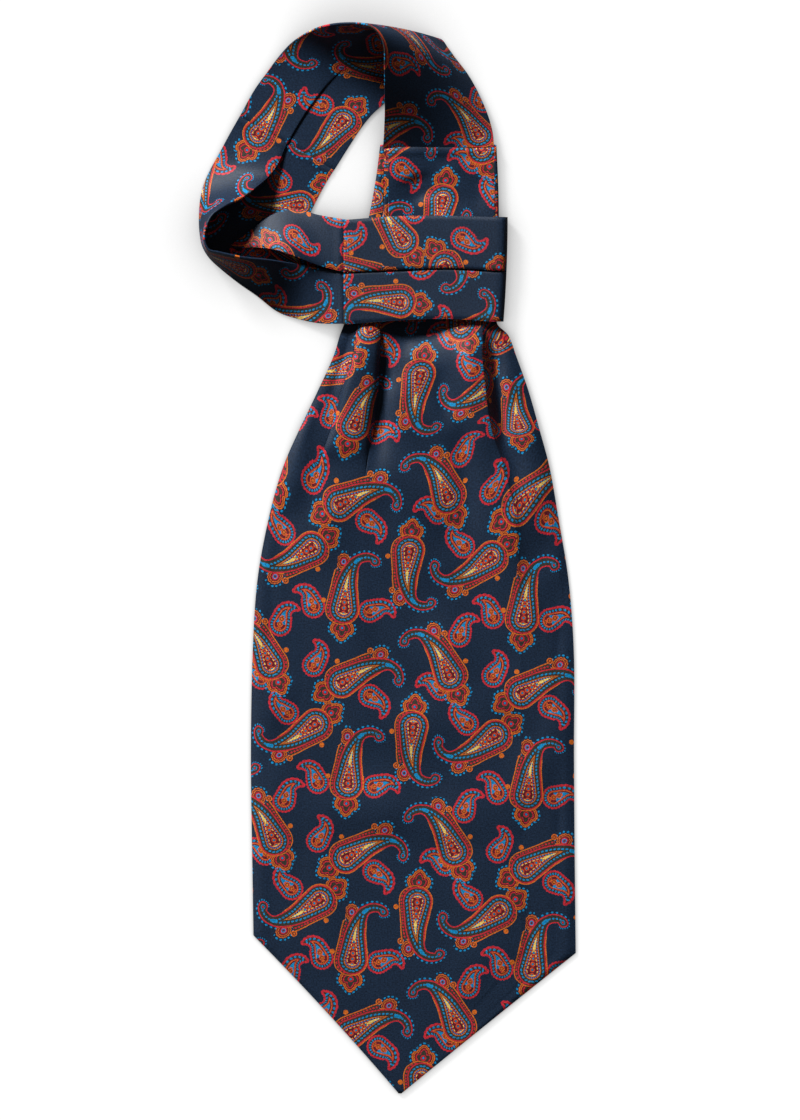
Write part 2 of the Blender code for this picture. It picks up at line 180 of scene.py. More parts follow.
# The neckband's right half. a is the edge that stands up as the roll's open mouth and then
# becomes the loop's outer edge; b stays low, turns at the crest and becomes the inner edge.
RIGHT_BAND = [
    Ruling(-1.8, 189.7, 4.9, 49.3, 189.7, 4.4, 0.0),
    Ruling(-1.3, 198.0, 10.0, 48.8, 196.0, 3.6, 1.0),
    Ruling(-1.0, 208.0, 17.0, 47.0, 203.0, 3.2, 1.4),
    Ruling(-1.2, 218.0, 24.0, 44.0, 210.5, 3.0, 1.6),
    Ruling(-1.2, 228.0, 29.5, 40.3, 218.0, 2.9, 1.6),
    Ruling(-1.5, 236.0, 33.0, 36.3, 224.5, 2.9, 1.6),
    Ruling(-4.2, 241.6, 34.8, 32.0, 230.0, 2.9, 1.5),
    Ruling(-8.6, 244.8, 34.8, 28.2, 235.2, 2.8, 1.4),
    Ruling(-13.5, 245.9, 33.3, 24.8, 239.6, 2.2, 1.2),
    Ruling(-19.0, 246.1, 30.4, 21.0, 238.0, 1.2, 1.0),
    Ruling(-25.0, 245.8, 25.5, 16.8, 233.0, 0.7, 0.9),
    Ruling(-31.0, 244.7, 19.5, 11.2, 225.5, 0.6, 0.6),
    Ruling(-37.2, 242.3, 12.5, 4.6, 217.2, 0.6, 0.3),
    Ruling(-43.8, 238.0, 7.0, -1.4, 210.4, 0.6, 0.0),
    Ruling(-49.2, 232.4, 4.0, -7.2, 205.0, 0.6, 0.0),
    Ruling(-55.3, 224.6, 2.6, -12.4, 198.5, 0.6, 0.0),
    Ruling(-61.3, 216.3, 2.1, -17.8, 190.2, 0.6, 0.0),
    Ruling(-67.8, 204.6, 2.1, -24.2, 180.0, 0.6, 0.0),
]
CENTRE_PLEAT_FROM = 12  # the ruling from which the centre pleat shows as a step
CENTRE_PLEAT_IN = 3  # the rulings over which it comes in
LAP = 0.7  # how far the cloth steps down there
LAP_LEAN = 0.25  # where the step's foot lies, as a share of the way to the next line but one
BAND_WIDE = 50.0
BAND_STEPS = 8
BAND_LINES = 49

# The left half's outer strip: a lies on the floor, b is the pleat's free edge, which stands up
# at the loop's corner and lies down again as the lower half of the level stretch.
OUTER_STRIP = [
    Ruling(-68.0, 204.3, 2.1, -46.2, 192.0, 2.1),
    Ruling(-72.5, 196.3, 1.7, -50.3, 182.5, 3.4),
    Ruling(-77.4, 187.1, 1.1, -55.0, 176.0, 6.0),
    Ruling(-81.5, 179.5, 0.6, -60.5, 171.0, 11.0),
    Ruling(-84.4, 172.5, 0.6, -66.5, 166.3, 16.0),
    Ruling(-85.9, 165.5, 0.6, -74.0, 162.6, 21.3),
    Ruling(-86.4, 158.5, 0.6, -80.2, 158.3, 24.0),
    Ruling(-86.2, 151.5, 0.6, -83.2, 152.4, 24.8),
    Ruling(-85.0, 144.8, 0.6, -84.0, 147.0, 24.9),
    Ruling(-81.8, 139.3, 0.6, -82.0, 142.4, 24.8),
    Ruling(-76.2, 134.0, 0.6, -77.5, 141.2, 23.9),
    Ruling(-68.2, 127.6, 0.6, -66.0, 138.9, 21.4),
    Ruling(-59.7, 121.6, 0.6, -55.0, 137.9, 17.0),
    Ruling(-50.7, 114.5, 0.9, -45.0, 136.5, 12.2),
    Ruling(-42.0, 111.2, 1.6, -36.5, 135.0, 9.0),
    Ruling(-31.0, 108.8, 3.8, -28.0, 133.4, 7.9),
    Ruling(-20.4, 108.5, 7.6, -20.4, 132.6, 7.8),
]

# The left half's inner strip and base: it lies on the floor, passes into the corner's hollow
# and runs on under the level stretch. a is its outer side, b the loop's inner edge.
INNER_STRIP = [
    Ruling(-54.0, 196.4, 1.4, -24.4, 179.7, 0.6),
    Ruling(-57.5, 187.0, 1.1, -28.5, 173.0, 0.6),
    Ruling(-64.5, 181.0, 0.6, -32.3, 166.0, 0.6),
    Ruling(-72.5, 175.5, 0.6, -36.0, 159.0, 0.6),
    Ruling(-80.5, 168.0, 0.6, -40.0, 153.5, 0.6),
    Ruling(-85.2, 158.0, 0.6, -43.0, 149.8, 0.6),
    Ruling(-85.0, 148.5, 0.6, -43.5, 147.0, 0.6),
    Ruling(-80.0, 140.0, 0.6, -41.5, 144.8, 0.6),
    Ruling(-69.5, 131.0, 0.6, -38.0, 143.2, 0.6),
    Ruling(-57.5, 123.0, 0.6, -34.0, 142.4, 0.6),
    Ruling(-43.0, 116.0, 0.6, -28.0, 141.8, 0.6),
    Ruling(-27.0, 112.0, 0.6, -21.5, 141.5, 0.6),
]

# The left half's level stretch, upper half: a is its lower edge over the outer strip, b its
# upper edge, which from the third ruling on is a slanting fold that turns down into the hollow.
UPPER_STRIP = [
    Ruling(-20.4, 132.5, 9.3, -20.4, 156.2, 9.2),
    Ruling(-31.0, 135.2, 10.4, -31.8, 158.2, 7.6),
    Ruling(-43.4, 139.8, 13.8, -43.6, 161.2, 6.0),
    Ruling(-52.0, 142.6, 12.5, -53.8, 157.9, 6.0),
    Ruling(-62.0, 143.6, 9.0, -65.0, 149.4, 6.2),
    Ruling(-70.5, 143.4, 6.6, -71.6, 144.6, 6.0),
]
FOLD_DROP = 3.6
FOLD_DROP_AT_SEAM = 1.6
FOLD_BULGE = 0.6
FOLD_TUCK = 1.6
FOLD_TURN = 110  # degrees
FOLD_RUN_IN = 1.6  # the rulings over which it reaches its full drop
FOLD_LINES = 8

OUTER_LINES = 27
INNER_LINES = 33
UPPER_LINES = 25
LEFT_PRINT_FROM = 0.8  # where the print starts along the outer and the inner strip
INNER_PRINT_AT_B = -28.6  # where the inner strip's edge b lies across the print

# The back blade's wrap: y of its lower and upper edges along the front, and of its pleat.
Wrap = namedtuple("Wrap", "x lower crease upper")
WRAP_FRONT = [
    Wrap(-20.0, 108.2, 132.5, 156.3),
    Wrap(5.0, 110.0, 133.6, 158.1),
    Wrap(28.0, 110.8, 134.4, 158.3),
    Wrap(50.0, 109.6, 133.3, 157.7),
]
WRAP_TOP = 8.1
WRAP_RISE = 1.0  # how much higher the upper facet lies
WRAP_RIGHT_X = 55.2
WRAP_TAPER = 1.9
WRAP_BACK_X = (48.0, 40.0, 20.0, -2.0)
WRAP_STEPS = 12
WRAP_TURN_STEPS = 20
WRAP_LINES = (34, 34)  # lines across the upper facet and the lower one
WRAP_PRINT_ACROSS = (113.8, 130.3)  # how far the print is moved across on each of them
WRAP_PRINT_FROM = -103.5
# What share of that rise each facet drops at the pleat, and over what width.
WRAP_EDGE_UP = (0.35, 0.5)
WRAP_EDGE_DOWN = (0.9, 0.55)

# ---------------------------------------------------------------- the print

# A motif's place in the repeat: its body's middle in mm, the way its tail points in degrees,
# and the side to which the tail curls (1 to the left of that way, -1 to the right).
Motif = namedtuple("Motif", "x y turn curl")
PAISLEYS = [
    Motif(12.0, -77.0, 265.0, 1),
    Motif(-33.0, -76.0, 215.0, -1),
    Motif(-18.0, -104.0, 85.0, -1),
    Motif(-21.0, -57.0, 30.0, -1),
    Motif(31.0, -135.0, 115.0, 1),
]
LEAVES = [
    Motif(-46.0, -71.0, 140.0, -1),
    Motif(27.0, -141.0, 140.0, 1),
    Motif(-34.0, -49.0, 55.0, 1),
    Motif(-8.0, -63.0, 330.0, -1),
    Motif(-32.0, -103.0, 110.0, 1),
    Motif(-6.0, -105.0, 20.0, -1),
    Motif(-47.5, -111.5, 72.0, -1),
]
REPEAT_ACROSS = (83.0, -5.0)
REPEAT_ALONG = (-2.0, 81.0)
# Round fields that together cover a motif, as (x, y, radius) in its own frame.
PAISLEY_FIELDS = ((-9.8, 0.0, 7.0), (4.0, -1.5, 12.0), (23.0, 7.0, 9.5))
LEAF_FIELDS = ((0.0, 0.0, 6.5), (9.0, 2.5, 5.0))
REVERSE_SHIFT = 8.7  # how far the turned print is moved across on a band's reverse face
BEAD_SPACING = 1.75
BODY_BEND = (9.0, 30.0)  # where the large motif's body starts to bend, and the bend's radius
TAIL_BEND = (21.0, 9.5)
TAIL_FROM = 20.5  # where its tail's own finish starts
TAIL_END = (33.2, 0.75)
CORE_EDGE = 3.5  # how deep in it the core starts, and the core's inner part
CORE_INNER = 3.9
PRINT_ROUGHER = 0.05  # how much rougher printed silk is than the ground
THREAD_HIGH = 0.35  # height of the twill's cross threads beside its ribs
CLOUDS = 0.4  # how much the dye's slow unevenness and its fine grain count
GRAIN = 2.0

# ---------------------------------------------------------------- floor, light and camera, in m

FLOOR_REACH = 3.0  # from the floor's middle to its edge
SHADE_REACH = 0.2  # how far from the cloth the floor's glow is darkened: painted shade round the cloth
KEY_PLACE = (-2.45, 3.55, 2.4)
KEY_WIDE = 1.2
SENSOR = 36.0  # in mm
VIEW_HEIGHT = 0.517  # how much of the floor the camera sees, along y
VIEW_MIDDLE = (0.006, -0.0004)


def smooth(low, high, value):
    """0 below low, 1 above high, and a soft rise between."""
    share = min(max((value - low) / (high - low), 0.0), 1.0)
    return share * share * (3 - 2 * share)


def catmull(p, q, r, s, t):
    """The smooth curve through q and r, whose neighbours are p and s."""
    return 0.5 * (
        2 * q + (r - p) * t + (2 * p - 5 * q + 4 * r - s) * t * t + (3 * q - p - 3 * r + s) * t**3
    )


def smoothed(rows, steps):
    """Rows of a table with steps - 1 further ones between each pair, on smooth curves."""
    kind = type(rows[0])
    padded = [rows[0], *rows, rows[-1]]
    found = []
    for i in range(1, len(padded) - 2):
        for k in range(steps):
            near = zip(*padded[i - 1 : i + 3])
            found.append(kind(*(catmull(*values, k / steps) for values in near)))
    found.append(rows[-1])
    return found


def shares(count):
    """Shares of a width, closer together towards both of its ends."""
    return [0.5 - 0.5 * cos(pi * k / (count - 1)) for k in range(count)]


def lofted(rows, spans):
    """Points in mm along each ruling, at the spans given as shares of its width."""
    sections = []
    for i, row in enumerate(rows):
        before = rows[max(i - 1, 0)]
        after = rows[min(i + 1, len(rows) - 1)]
        start = Vector((row.ax, row.ay, row.az))
        end = Vector((row.bx, row.by, row.bz))
        forward = Vector((after.ax + after.bx, after.ay + after.by, after.az + after.bz))
        forward -= Vector((before.ax + before.bx, before.ay + before.by, before.az + before.bz))
        outward = (end - start).cross(forward).normalized()
        line = []
        for t in spans:
            line.append(start.lerp(end, t) + outward * row.crown * 4 * t * (1 - t))
        sections.append(line)
    return sections


def lengths(points):
    """Distance along a line of points, from its first to each of them."""
    found = [0.0]
    for near, far in zip(points, points[1:]):
        found.append(found[-1] + (far - near).length)
    return found


def strip_print(sections, start, across_at_a, across_sign, along_sign=1.0):
    """Where each point of a strip lies in the print, by its lengths along and across."""
    middle = len(sections[0]) // 2
    along = lengths([line[middle] for line in sections])
    found = []
    for line, travelled in zip(sections, along):
        across = lengths(line)
        v = start + along_sign * travelled
        found.append([(across_at_a + across_sign * reach, v) for reach in across])
    return found


def roll_edges(sections, first, last):
    """Turns the first and the last edge of each line down, as a folded edge of silk lies."""
    for line in sections:
        across = lengths(line)
        for point, reach in zip(line, across):
            point.z -= first * np.exp(-((reach / ROLL_WIDE) ** 2))
            point.z -= last * np.exp(-(((across[-1] - reach) / ROLL_WIDE) ** 2))


def tuck(sections, prints, at_start=False):
    """Runs a piece on past one of its ends, a little lower, so that it passes under its seam."""
    end, before = (0, 1) if at_start else (-1, -2)
    line = []
    place = []
    pairs = zip(sections[end], sections[before], prints[end], prints[before])
    for point, near, (u, v), (near_u, near_v) in pairs:
        on = TUCKED / (point - near).length
        further = point + (point - near) * on
        further.z = max(point.z - SEAM_DROP, LOWEST_TUCKED)
        line.append(further)
        place.append((u + (u - near_u) * on, v + (v - near_v) * on))
    at = 0 if at_start else len(sections)
    sections.insert(at, line)
    prints.insert(at, place)


def puff(sections, high, at_start=False):
    """Swells the cloth a little beside a seam, as stitches draw it in."""
    lines = sections if at_start else sections[::-1]
    for k, start in enumerate(lines[0]):
        for line in lines:
            reach = hypot(line[k].x - start.x, line[k].y - start.y)
            if reach > PUFF_REACH:
                break
            swell = np.exp(-(((reach - PUFF_CREST) / PUFF_WIDE) ** 2))
            line[k].z += high * (swell - PUFF_SINK)


def press(point, creases):
    """How far a point of the blade is moved up or down by the creases near it."""
    moved = 0.0
    for crease in creases:
        way = Vector((crease.bx - crease.ax, crease.by - crease.ay))
        reach = Vector((point.x - crease.ax, point.y - crease.ay))
        share = min(max(reach.dot(way) / way.length_squared, 0.0), 1.0)
        beside = (reach - way * share).length / crease.wide
        ends = smooth(CREASE_START, CREASE_IN, share)
        ends *= smooth(CREASE_START, CREASE_OUT, 1.0 - share)
        moved += crease.deep * ends * np.exp(-beside * beside)
    return moved


def cloth(name, sections, prints, shell, upside_down=False, folds=()):
    """An open grid whose lines are the sections, made a thin shell of silk.

    The print doesn't run across the strip that follows each column in folds."""
    if upside_down:
        sections = sections[::-1]
        prints = prints[::-1]
    columns = len(sections[0])
    shape = bmesh.new()
    made = bmesh.ops.create_grid(
        shape, x_segments=columns - 1, y_segments=len(sections) - 1, size=0.5
    )
    places = {}
    for vertex in made["verts"]:
        column = round((vertex.co.x + 0.5) * (columns - 1))
        row = round((vertex.co.y + 0.5) * (len(sections) - 1))
        places[vertex] = (row, column)
    for vertex, (row, column) in places.items():
        vertex.co = sections[row][column] * MM
    layer = shape.loops.layers.uv.new(UV_NAME)
    for face in shape.faces:
        first = min(places[vertex][1] for vertex in face.verts)
        for corner in face.loops:
            row, column = places[corner.vert]
            if first in folds:
                column = first
            u, v = prints[row][column]
            corner[layer].uv = (u * MM, v * MM)
    mesh = bpy.data.meshes.new(name)
    shape.to_mesh(mesh)
    shape.free()
    mesh.shade_smooth()
    piece = bpy.data.objects.new(name, mesh)
    bpy.context.scene.collection.objects.link(piece)
    wall = piece.modifiers.new("wall", "SOLIDIFY")
    wall.thickness = shell
    wall.offset = 0.0
    wall.use_even_offset = False
    wall.material_offset = 1
    wall.material_offset_rim = 0
    mesh.materials.append(silk("printed_silk_face", False))
    mesh.materials.append(silk("printed_silk_reverse", True))
    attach(piece, "root")
    return piece


# ---------------------------------------------------------------- the pieces


def blade_height(row, panel, reach, width):
    """Height of the front blade at a reach into one of its four panels."""
    left_fall = min(row.z_left + EDGE_RISE, row.z_pleat)
    right_fall = min(row.z_right + EDGE_RISE, row.z_ridge)
    under_pleat = max((row.z_left + row.z_pleat) / 2, left_fall)
    lift = min(max(row.z_pleat - row.z_middle, 0.0), 1.0)
    if panel == 0:
        side = min(FALL, width * WIDEST_FALL_LEFT)
        height = row.z_left + (left_fall - row.z_left) * smooth(0.0, side, reach)
        return height + (under_pleat - left_fall) * smooth(side, width, reach)
    if panel == 1:
        arch = 1.0 - (2.0 * reach / width - 1.0) ** 2
        edges = np.exp(-((reach / PLEAT_EDGE_WIDE) ** 2))
        edges += np.exp(-(((width - reach) / PLEAT_EDGE_WIDE) ** 2))
        start = row.z_pleat - (1 - lift) * max(row.z_pleat - under_pleat, 0.0)
        base = start + (row.z_pleat - start) * reach / width
        base += (row.z_middle - row.z_pleat) * (1 - lift) * reach / width
        return base + lift * (PLEAT_ARCH * arch - PLEAT_SINK - PLEAT_EDGE * edges)
    if panel == 2:
        rise = smooth(RIDGE_FROM, 1.0, reach / width) ** RIDGE_CURVE
        return row.z_middle + (row.z_ridge - row.z_middle) * rise
    side = max(width - min(FALL, width * WIDEST_FALL_RIGHT), 0.1)
    levelled = 1 - (1 - min(reach / side, 1.0)) ** SIDE_CURVE
    height = row.z_ridge + (right_fall - row.z_ridge) * levelled
    return height - (right_fall - row.z_right) * smooth(side, width, reach)


def blade_line(row):
    """One line across the front blade, and where its points lie in the print."""
    marks = (row.left, row.fold_a, row.fold_b, row.ridge, row.right)
    points = []
    panel_of = []
    for panel, count in enumerate(PANEL_LINES):
        start, end = marks[panel], marks[panel + 1]
        if panel:
            start += STEP
        width = end - start
        for share in shares(count):
            reach = share * width
            height = blade_height(row, panel, reach, width)
            points.append(Vector((start + reach, row.y, height)))
            panel_of.append(panel)
    for point, panel in zip(points, panel_of):
        point.z += press(point, BLADE_CREASES)
        inside = smooth(0.0, WAVE_FADE, min(point.x - row.left, row.right - point.x))
        slow = noise.noise(Vector((point.x / WAVE_WIDE, point.y / WAVE_WIDE, WAVE_SEED)))
        point.z = max(point.z + WAVE_DEEP * inside * slow, LOWEST_MIDDLE * inside)
        if panel in (0, 3):
            point.z = max(point.z, min(row.z_left, row.z_right, LOWEST_SIDE))
    return points, panel_of


def blade_print(line, panel_of, row, leans):
    """Where a line's points lie in the print: unrolled from the middle of the cut outwards."""
    middle = min(range(len(line)), key=lambda i: abs(line[i].x - row.middle))
    off = line[middle].x - row.middle
    found = [None] * len(line)
    found[middle] = (MIDDLE_IN_PRINT + off, row.y)
    hides = smooth(PLEATS_FROM, PLEATS_FULL, row.y)
    for way in (-1, 1):
        ends = range(middle + way, len(line) if way > 0 else -1, way)
        u, v = found[middle]
        folds = []
        for i in ends:
            step = hypot(line[i].x - line[i - way].x, line[i].z - line[i - way].z)
            if panel_of[i] != panel_of[i - way]:
                folds.append(i)
                step = STEP
            u += way * step * cos(leans[i])
            v += way * step * sin(leans[i])
            found[i] = (u, v)
        hidden = PLEATS_HIDE * hides
        jump = 0.0
        for i in ends:
            if i in folds:
                jump += way * hidden / len(folds)
            found[i] = (found[i][0] + jump, found[i][1])
    return found


def point_line(line, share, tip, hollow_left, hollow_right):
    """The line between the corners, drawn in towards the tip by a share of the way.

    Its height comes to the tip's sooner, so the last of the cloth lies level."""
    width = line[-1].x - line[0].x
    hollow = 4 * share * (1 - share)
    found = []
    for point in line:
        span = (point.x - line[0].x) / width
        moved = point.lerp(Vector(tip), share)
        moved.z = point.z + (tip[2] - point.z) * smooth(0.0, LEVEL_BY, share)
        moved.x += hollow * (hollow_left * (1 - span) - hollow_right * span)
        found.append(moved)
    return found


def corner_line(start, inset=0.0):
    """The line from one corner of the blade to the other, with the points spread as in start."""
    width = start[-1].x - start[0].x
    found = []
    for point in start:
        span = (point.x - start[0].x) / width
        x = CORNER_LEFT[0] + inset + (CORNER_RIGHT[0] - CORNER_LEFT[0] - 2 * inset) * span
        y = CORNER_LEFT[1] + (CORNER_RIGHT[1] - CORNER_LEFT[1]) * span
        found.append(Vector((x, y, point.z)))
    return found


def front_blade(shell):
    """The gathered blade, from the neck seam under the wrap to its tip."""
    rows = smoothed(FRONT_BLADE, BLADE_STEPS)
    lines = [blade_line(row) for row in rows]
    sections = []
    prints = []
    for i, row in enumerate(rows):
        line, panel_of = lines[i]
        above = lines[max(i - 1, 0)][0]
        below = lines[min(i + 1, len(lines) - 1)][0]
        leans = []
        for high, low in zip(above, below):
            leans.append(atan((high.x - low.x) / max(high.y - low.y, 0.1)))
        sections.append(line)
        prints.append(blade_print(line, panel_of, row, leans))
    start = sections[-1]
    corners = corner_line(start)
    for k in range(1, CORNER_ROWS + 1):
        sections.append([p.lerp(q, k / CORNER_ROWS) for p, q in zip(start, corners)])
    for k in range(1, POINT_ROWS + 1):
        share = BLUNT * k / POINT_ROWS
        sections.append(point_line(corners, share, TIP, BOW_LEFT, BOW_RIGHT))
    for line in sections[len(prints) :]:
        prints.append([(point.x, point.y) for point in line])
    roll_edges(sections, first=0.25, last=0.2)
    puff(sections, high=0.5, at_start=True)
    tuck(sections, prints, at_start=True)
    ends = [sum(PANEL_LINES[: k + 1]) - 1 for k in range(len(PANEL_LINES) - 1)]
    piece = cloth("silk_front_blade", sections, prints, shell, upside_down=True, folds=ends)
    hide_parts("front_blade")


def back_blade_under(shell):
    """The back blade's hidden stretch, flat on the floor just inside the front blade."""
    sections = []
    spans = shares(UNDER_LINES)
    for row in smoothed(FRONT_BLADE[UNDER_FROM:], UNDER_STEPS):
        left = row.left + UNDER_INSET
        width = row.right - row.left - 2 * UNDER_INSET
        sections.append([Vector((left + width * t, row.y, PLY)) for t in spans])
    corners = corner_line(sections[-1], UNDER_INSET)
    sections.append(corners)
    tip = (TIP[0], TIP[1] + UNDER_TIP * UNDER_INSET, PLY)
    for k in range(1, UNDER_POINT_ROWS + 1):
        sections.append(point_line(corners, BLUNT * k / UNDER_POINT_ROWS, tip, 0.0, 0.0))
    across, along = UNDER_PRINT
    prints = [[(point.x + across, point.y + along) for point in line] for line in sections]
    piece = cloth("silk_back_blade", sections, prints, shell, upside_down=True)
    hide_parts("back_blade_under")


def wrap_line(row, x, taper, height, step):
    """A line across the wrap, from its upper edge down over the pleat to its lower edge."""
    line = []
    prints = []
    parts = ((row.upper, row.crease), (row.crease - STEP, row.lower))
    for part, (start, end) in enumerate(parts):
        for share in shares(WRAP_LINES[part]):
            y = start + (end - start) * share
            span = (y - row.lower) / (row.upper - row.lower)
            z = height
            if part == 0:
                deep, wide = WRAP_EDGE_UP
                z += step - deep * step * np.exp(-(((y - end) / wide) ** 2))
            else:
                deep, wide = WRAP_EDGE_DOWN
                z -= deep * step * np.exp(-(((start - y) / wide) ** 2))
            line.append(Vector((x - taper * (1 - span) ** 2, y, z)))
            prints.append(-y + WRAP_PRINT_ACROSS[part])
    return line, prints


def back_blade_wrap(shell):
    """Front, fold round the right side, and hidden back, as one strip."""
    low = PLY + LAYER
    radius = (WRAP_TOP - low) / 2
    middle = (WRAP_TOP + low) / 2
    centre = WRAP_RIGHT_X - radius
    last = WRAP_FRONT[-1]
    lines = []
    for row in smoothed(WRAP_FRONT, WRAP_STEPS):
        taper = WRAP_TAPER * max(row.x, 0.0) / last.x
        lines.append(wrap_line(row, row.x, taper, WRAP_TOP, WRAP_RISE))
    for k in range(1, WRAP_TURN_STEPS + 1):
        angle = pi / 2 - pi * k / WRAP_TURN_STEPS
        rise = WRAP_RISE * (1 + sin(angle)) / 2
        height = middle + radius * sin(angle)
        lines.append(wrap_line(last, centre + radius * cos(angle), WRAP_TAPER, height, rise))
    for x in WRAP_BACK_X:
        lines.append(wrap_line(last, x, 0.0, low, 0.0))
    sections = [line for line, _ in lines]
    across = len(sections[0]) // 3
    along = lengths([line[across] for line in sections])
    prints = []
    for (_, us), travelled in zip(lines, along):
        prints.append([(u, travelled + WRAP_PRINT_FROM) for u in us])
    roll_edges(sections, first=0.45, last=0.45)
    folds = [WRAP_LINES[0] - 1]
    piece = cloth("silk_back_blade_wrap", sections, prints, shell, folds=folds)
    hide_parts("back_blade_wrap")


def step_at_middle(sections, first, run_in):
    """Lets the inner half of each line down to the floor, so that the outer half laps it."""
    middle = len(sections[0]) // 2
    for i, line in enumerate(sections):
        share = smooth(0.0, 1.0, max(i - first, 0) / run_in)
        outer = line[0].z
        inner = min(outer, PLY + LAYER)
        for k, point in enumerate(line):
            if k <= middle:
                target = outer + (inner - outer) * k / middle
            else:
                target = PLY + max(inner - LAP - PLY, 0.0) * (len(line) - 1 - k) / middle
            point.z += share * (target - point.z)
        line[middle + 1].xy = line[middle].xy.lerp(line[middle + 2].xy, LAP_LEAN)


def neckband_right(shell):
    """The right half: plain face up, over the roll, then pleated face up to the centre seam."""
    half = shares(BAND_LINES // 2 + 1)
    spans = [t / 2 for t in half] + [0.5 + t / 2 for t in half[1:]]
    sections = lofted(smoothed(RIGHT_BAND, BAND_STEPS), spans)
    prints = strip_print(
        sections, start=-142.0, across_at_a=MIDDLE_IN_PRINT - BAND_WIDE / 2, across_sign=1.0
    )
    step_at_middle(sections, CENTRE_PLEAT_FROM * BAND_STEPS, CENTRE_PLEAT_IN * BAND_STEPS)
    puff(sections, high=0.4)
    tuck(sections, prints)
    piece = cloth("silk_neckband_right", sections, prints, shell)
    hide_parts("neckband_right")


def neckband_left_outer(shell):
    """The left half's outer flap, which stands on its edge round the loop's corner."""
    sections = lofted(smoothed(OUTER_STRIP, BAND_STEPS), shares(OUTER_LINES))
    prints = strip_print(sections, start=LEFT_PRINT_FROM, across_at_a=21.4, across_sign=-1.0)
    roll_edges(sections, first=0.0, last=0.3)
    puff(sections, high=0.4, at_start=True)
    puff(sections, high=0.35)
    tuck(sections, prints)
    piece = cloth("silk_neckband_outer", sections, prints, shell, upside_down=True)
    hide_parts("neckband_left_outer")


def neckband_left_inner(shell):
    """The left half's inner flap and base, flat on the floor and into the corner's hollow."""
    sections = lofted(smoothed(INNER_STRIP, BAND_STEPS), shares(INNER_LINES))
    prints = []
    middle = len(sections[0]) // 2
    along = lengths([line[middle] for line in sections])
    for line, travelled in zip(sections, along):
        across = lengths(line)
        v = LEFT_PRINT_FROM + travelled
        prints.append([(INNER_PRINT_AT_B + across[-1] - reach, v) for reach in across])
    puff(sections, high=0.4, at_start=True)
    piece = cloth("silk_neckband_inner", sections, prints, shell, upside_down=True)
    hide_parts("neckband_left_inner")


def neckband_left_upper(shell):
    """The level stretch's upper half, with its slanting fold turned down and under."""
    lines = lofted(smoothed(UPPER_STRIP, BAND_STEPS), shares(UPPER_LINES))
    sections = []
    for i, line in enumerate(lines):
        share = smooth(0.0, 1.0, i / (FOLD_RUN_IN * BAND_STEPS))
        depth = FOLD_DROP_AT_SEAM + (FOLD_DROP - FOLD_DROP_AT_SEAM) * share
        inward = (line[0] - line[-1]).normalized()
        edge = line[-1]
        fold = []
        for k in range(1, FOLD_LINES + 1):
            turned = radians(FOLD_TURN) * k / FOLD_LINES
            out = sin(turned) * FOLD_BULGE - (1 - cos(turned)) * FOLD_TUCK
            drop = Vector((0, 0, sin(turned / 2) * depth))
            fold.append(edge - inward * out - drop)
        sections.append(line + fold)
    prints = strip_print(
        sections, start=-107.0, across_at_a=-22.0, across_sign=-1.0, along_sign=-1.0
    )
    roll_edges(sections, first=0.4, last=0.0)
    puff(sections, high=0.35, at_start=True)
    tuck(sections, prints, at_start=True)
    piece = cloth("silk_neckband_upper", sections, prints, shell)
    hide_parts("neckband_left_upper")


# ---------------------------------------------------------------- materials


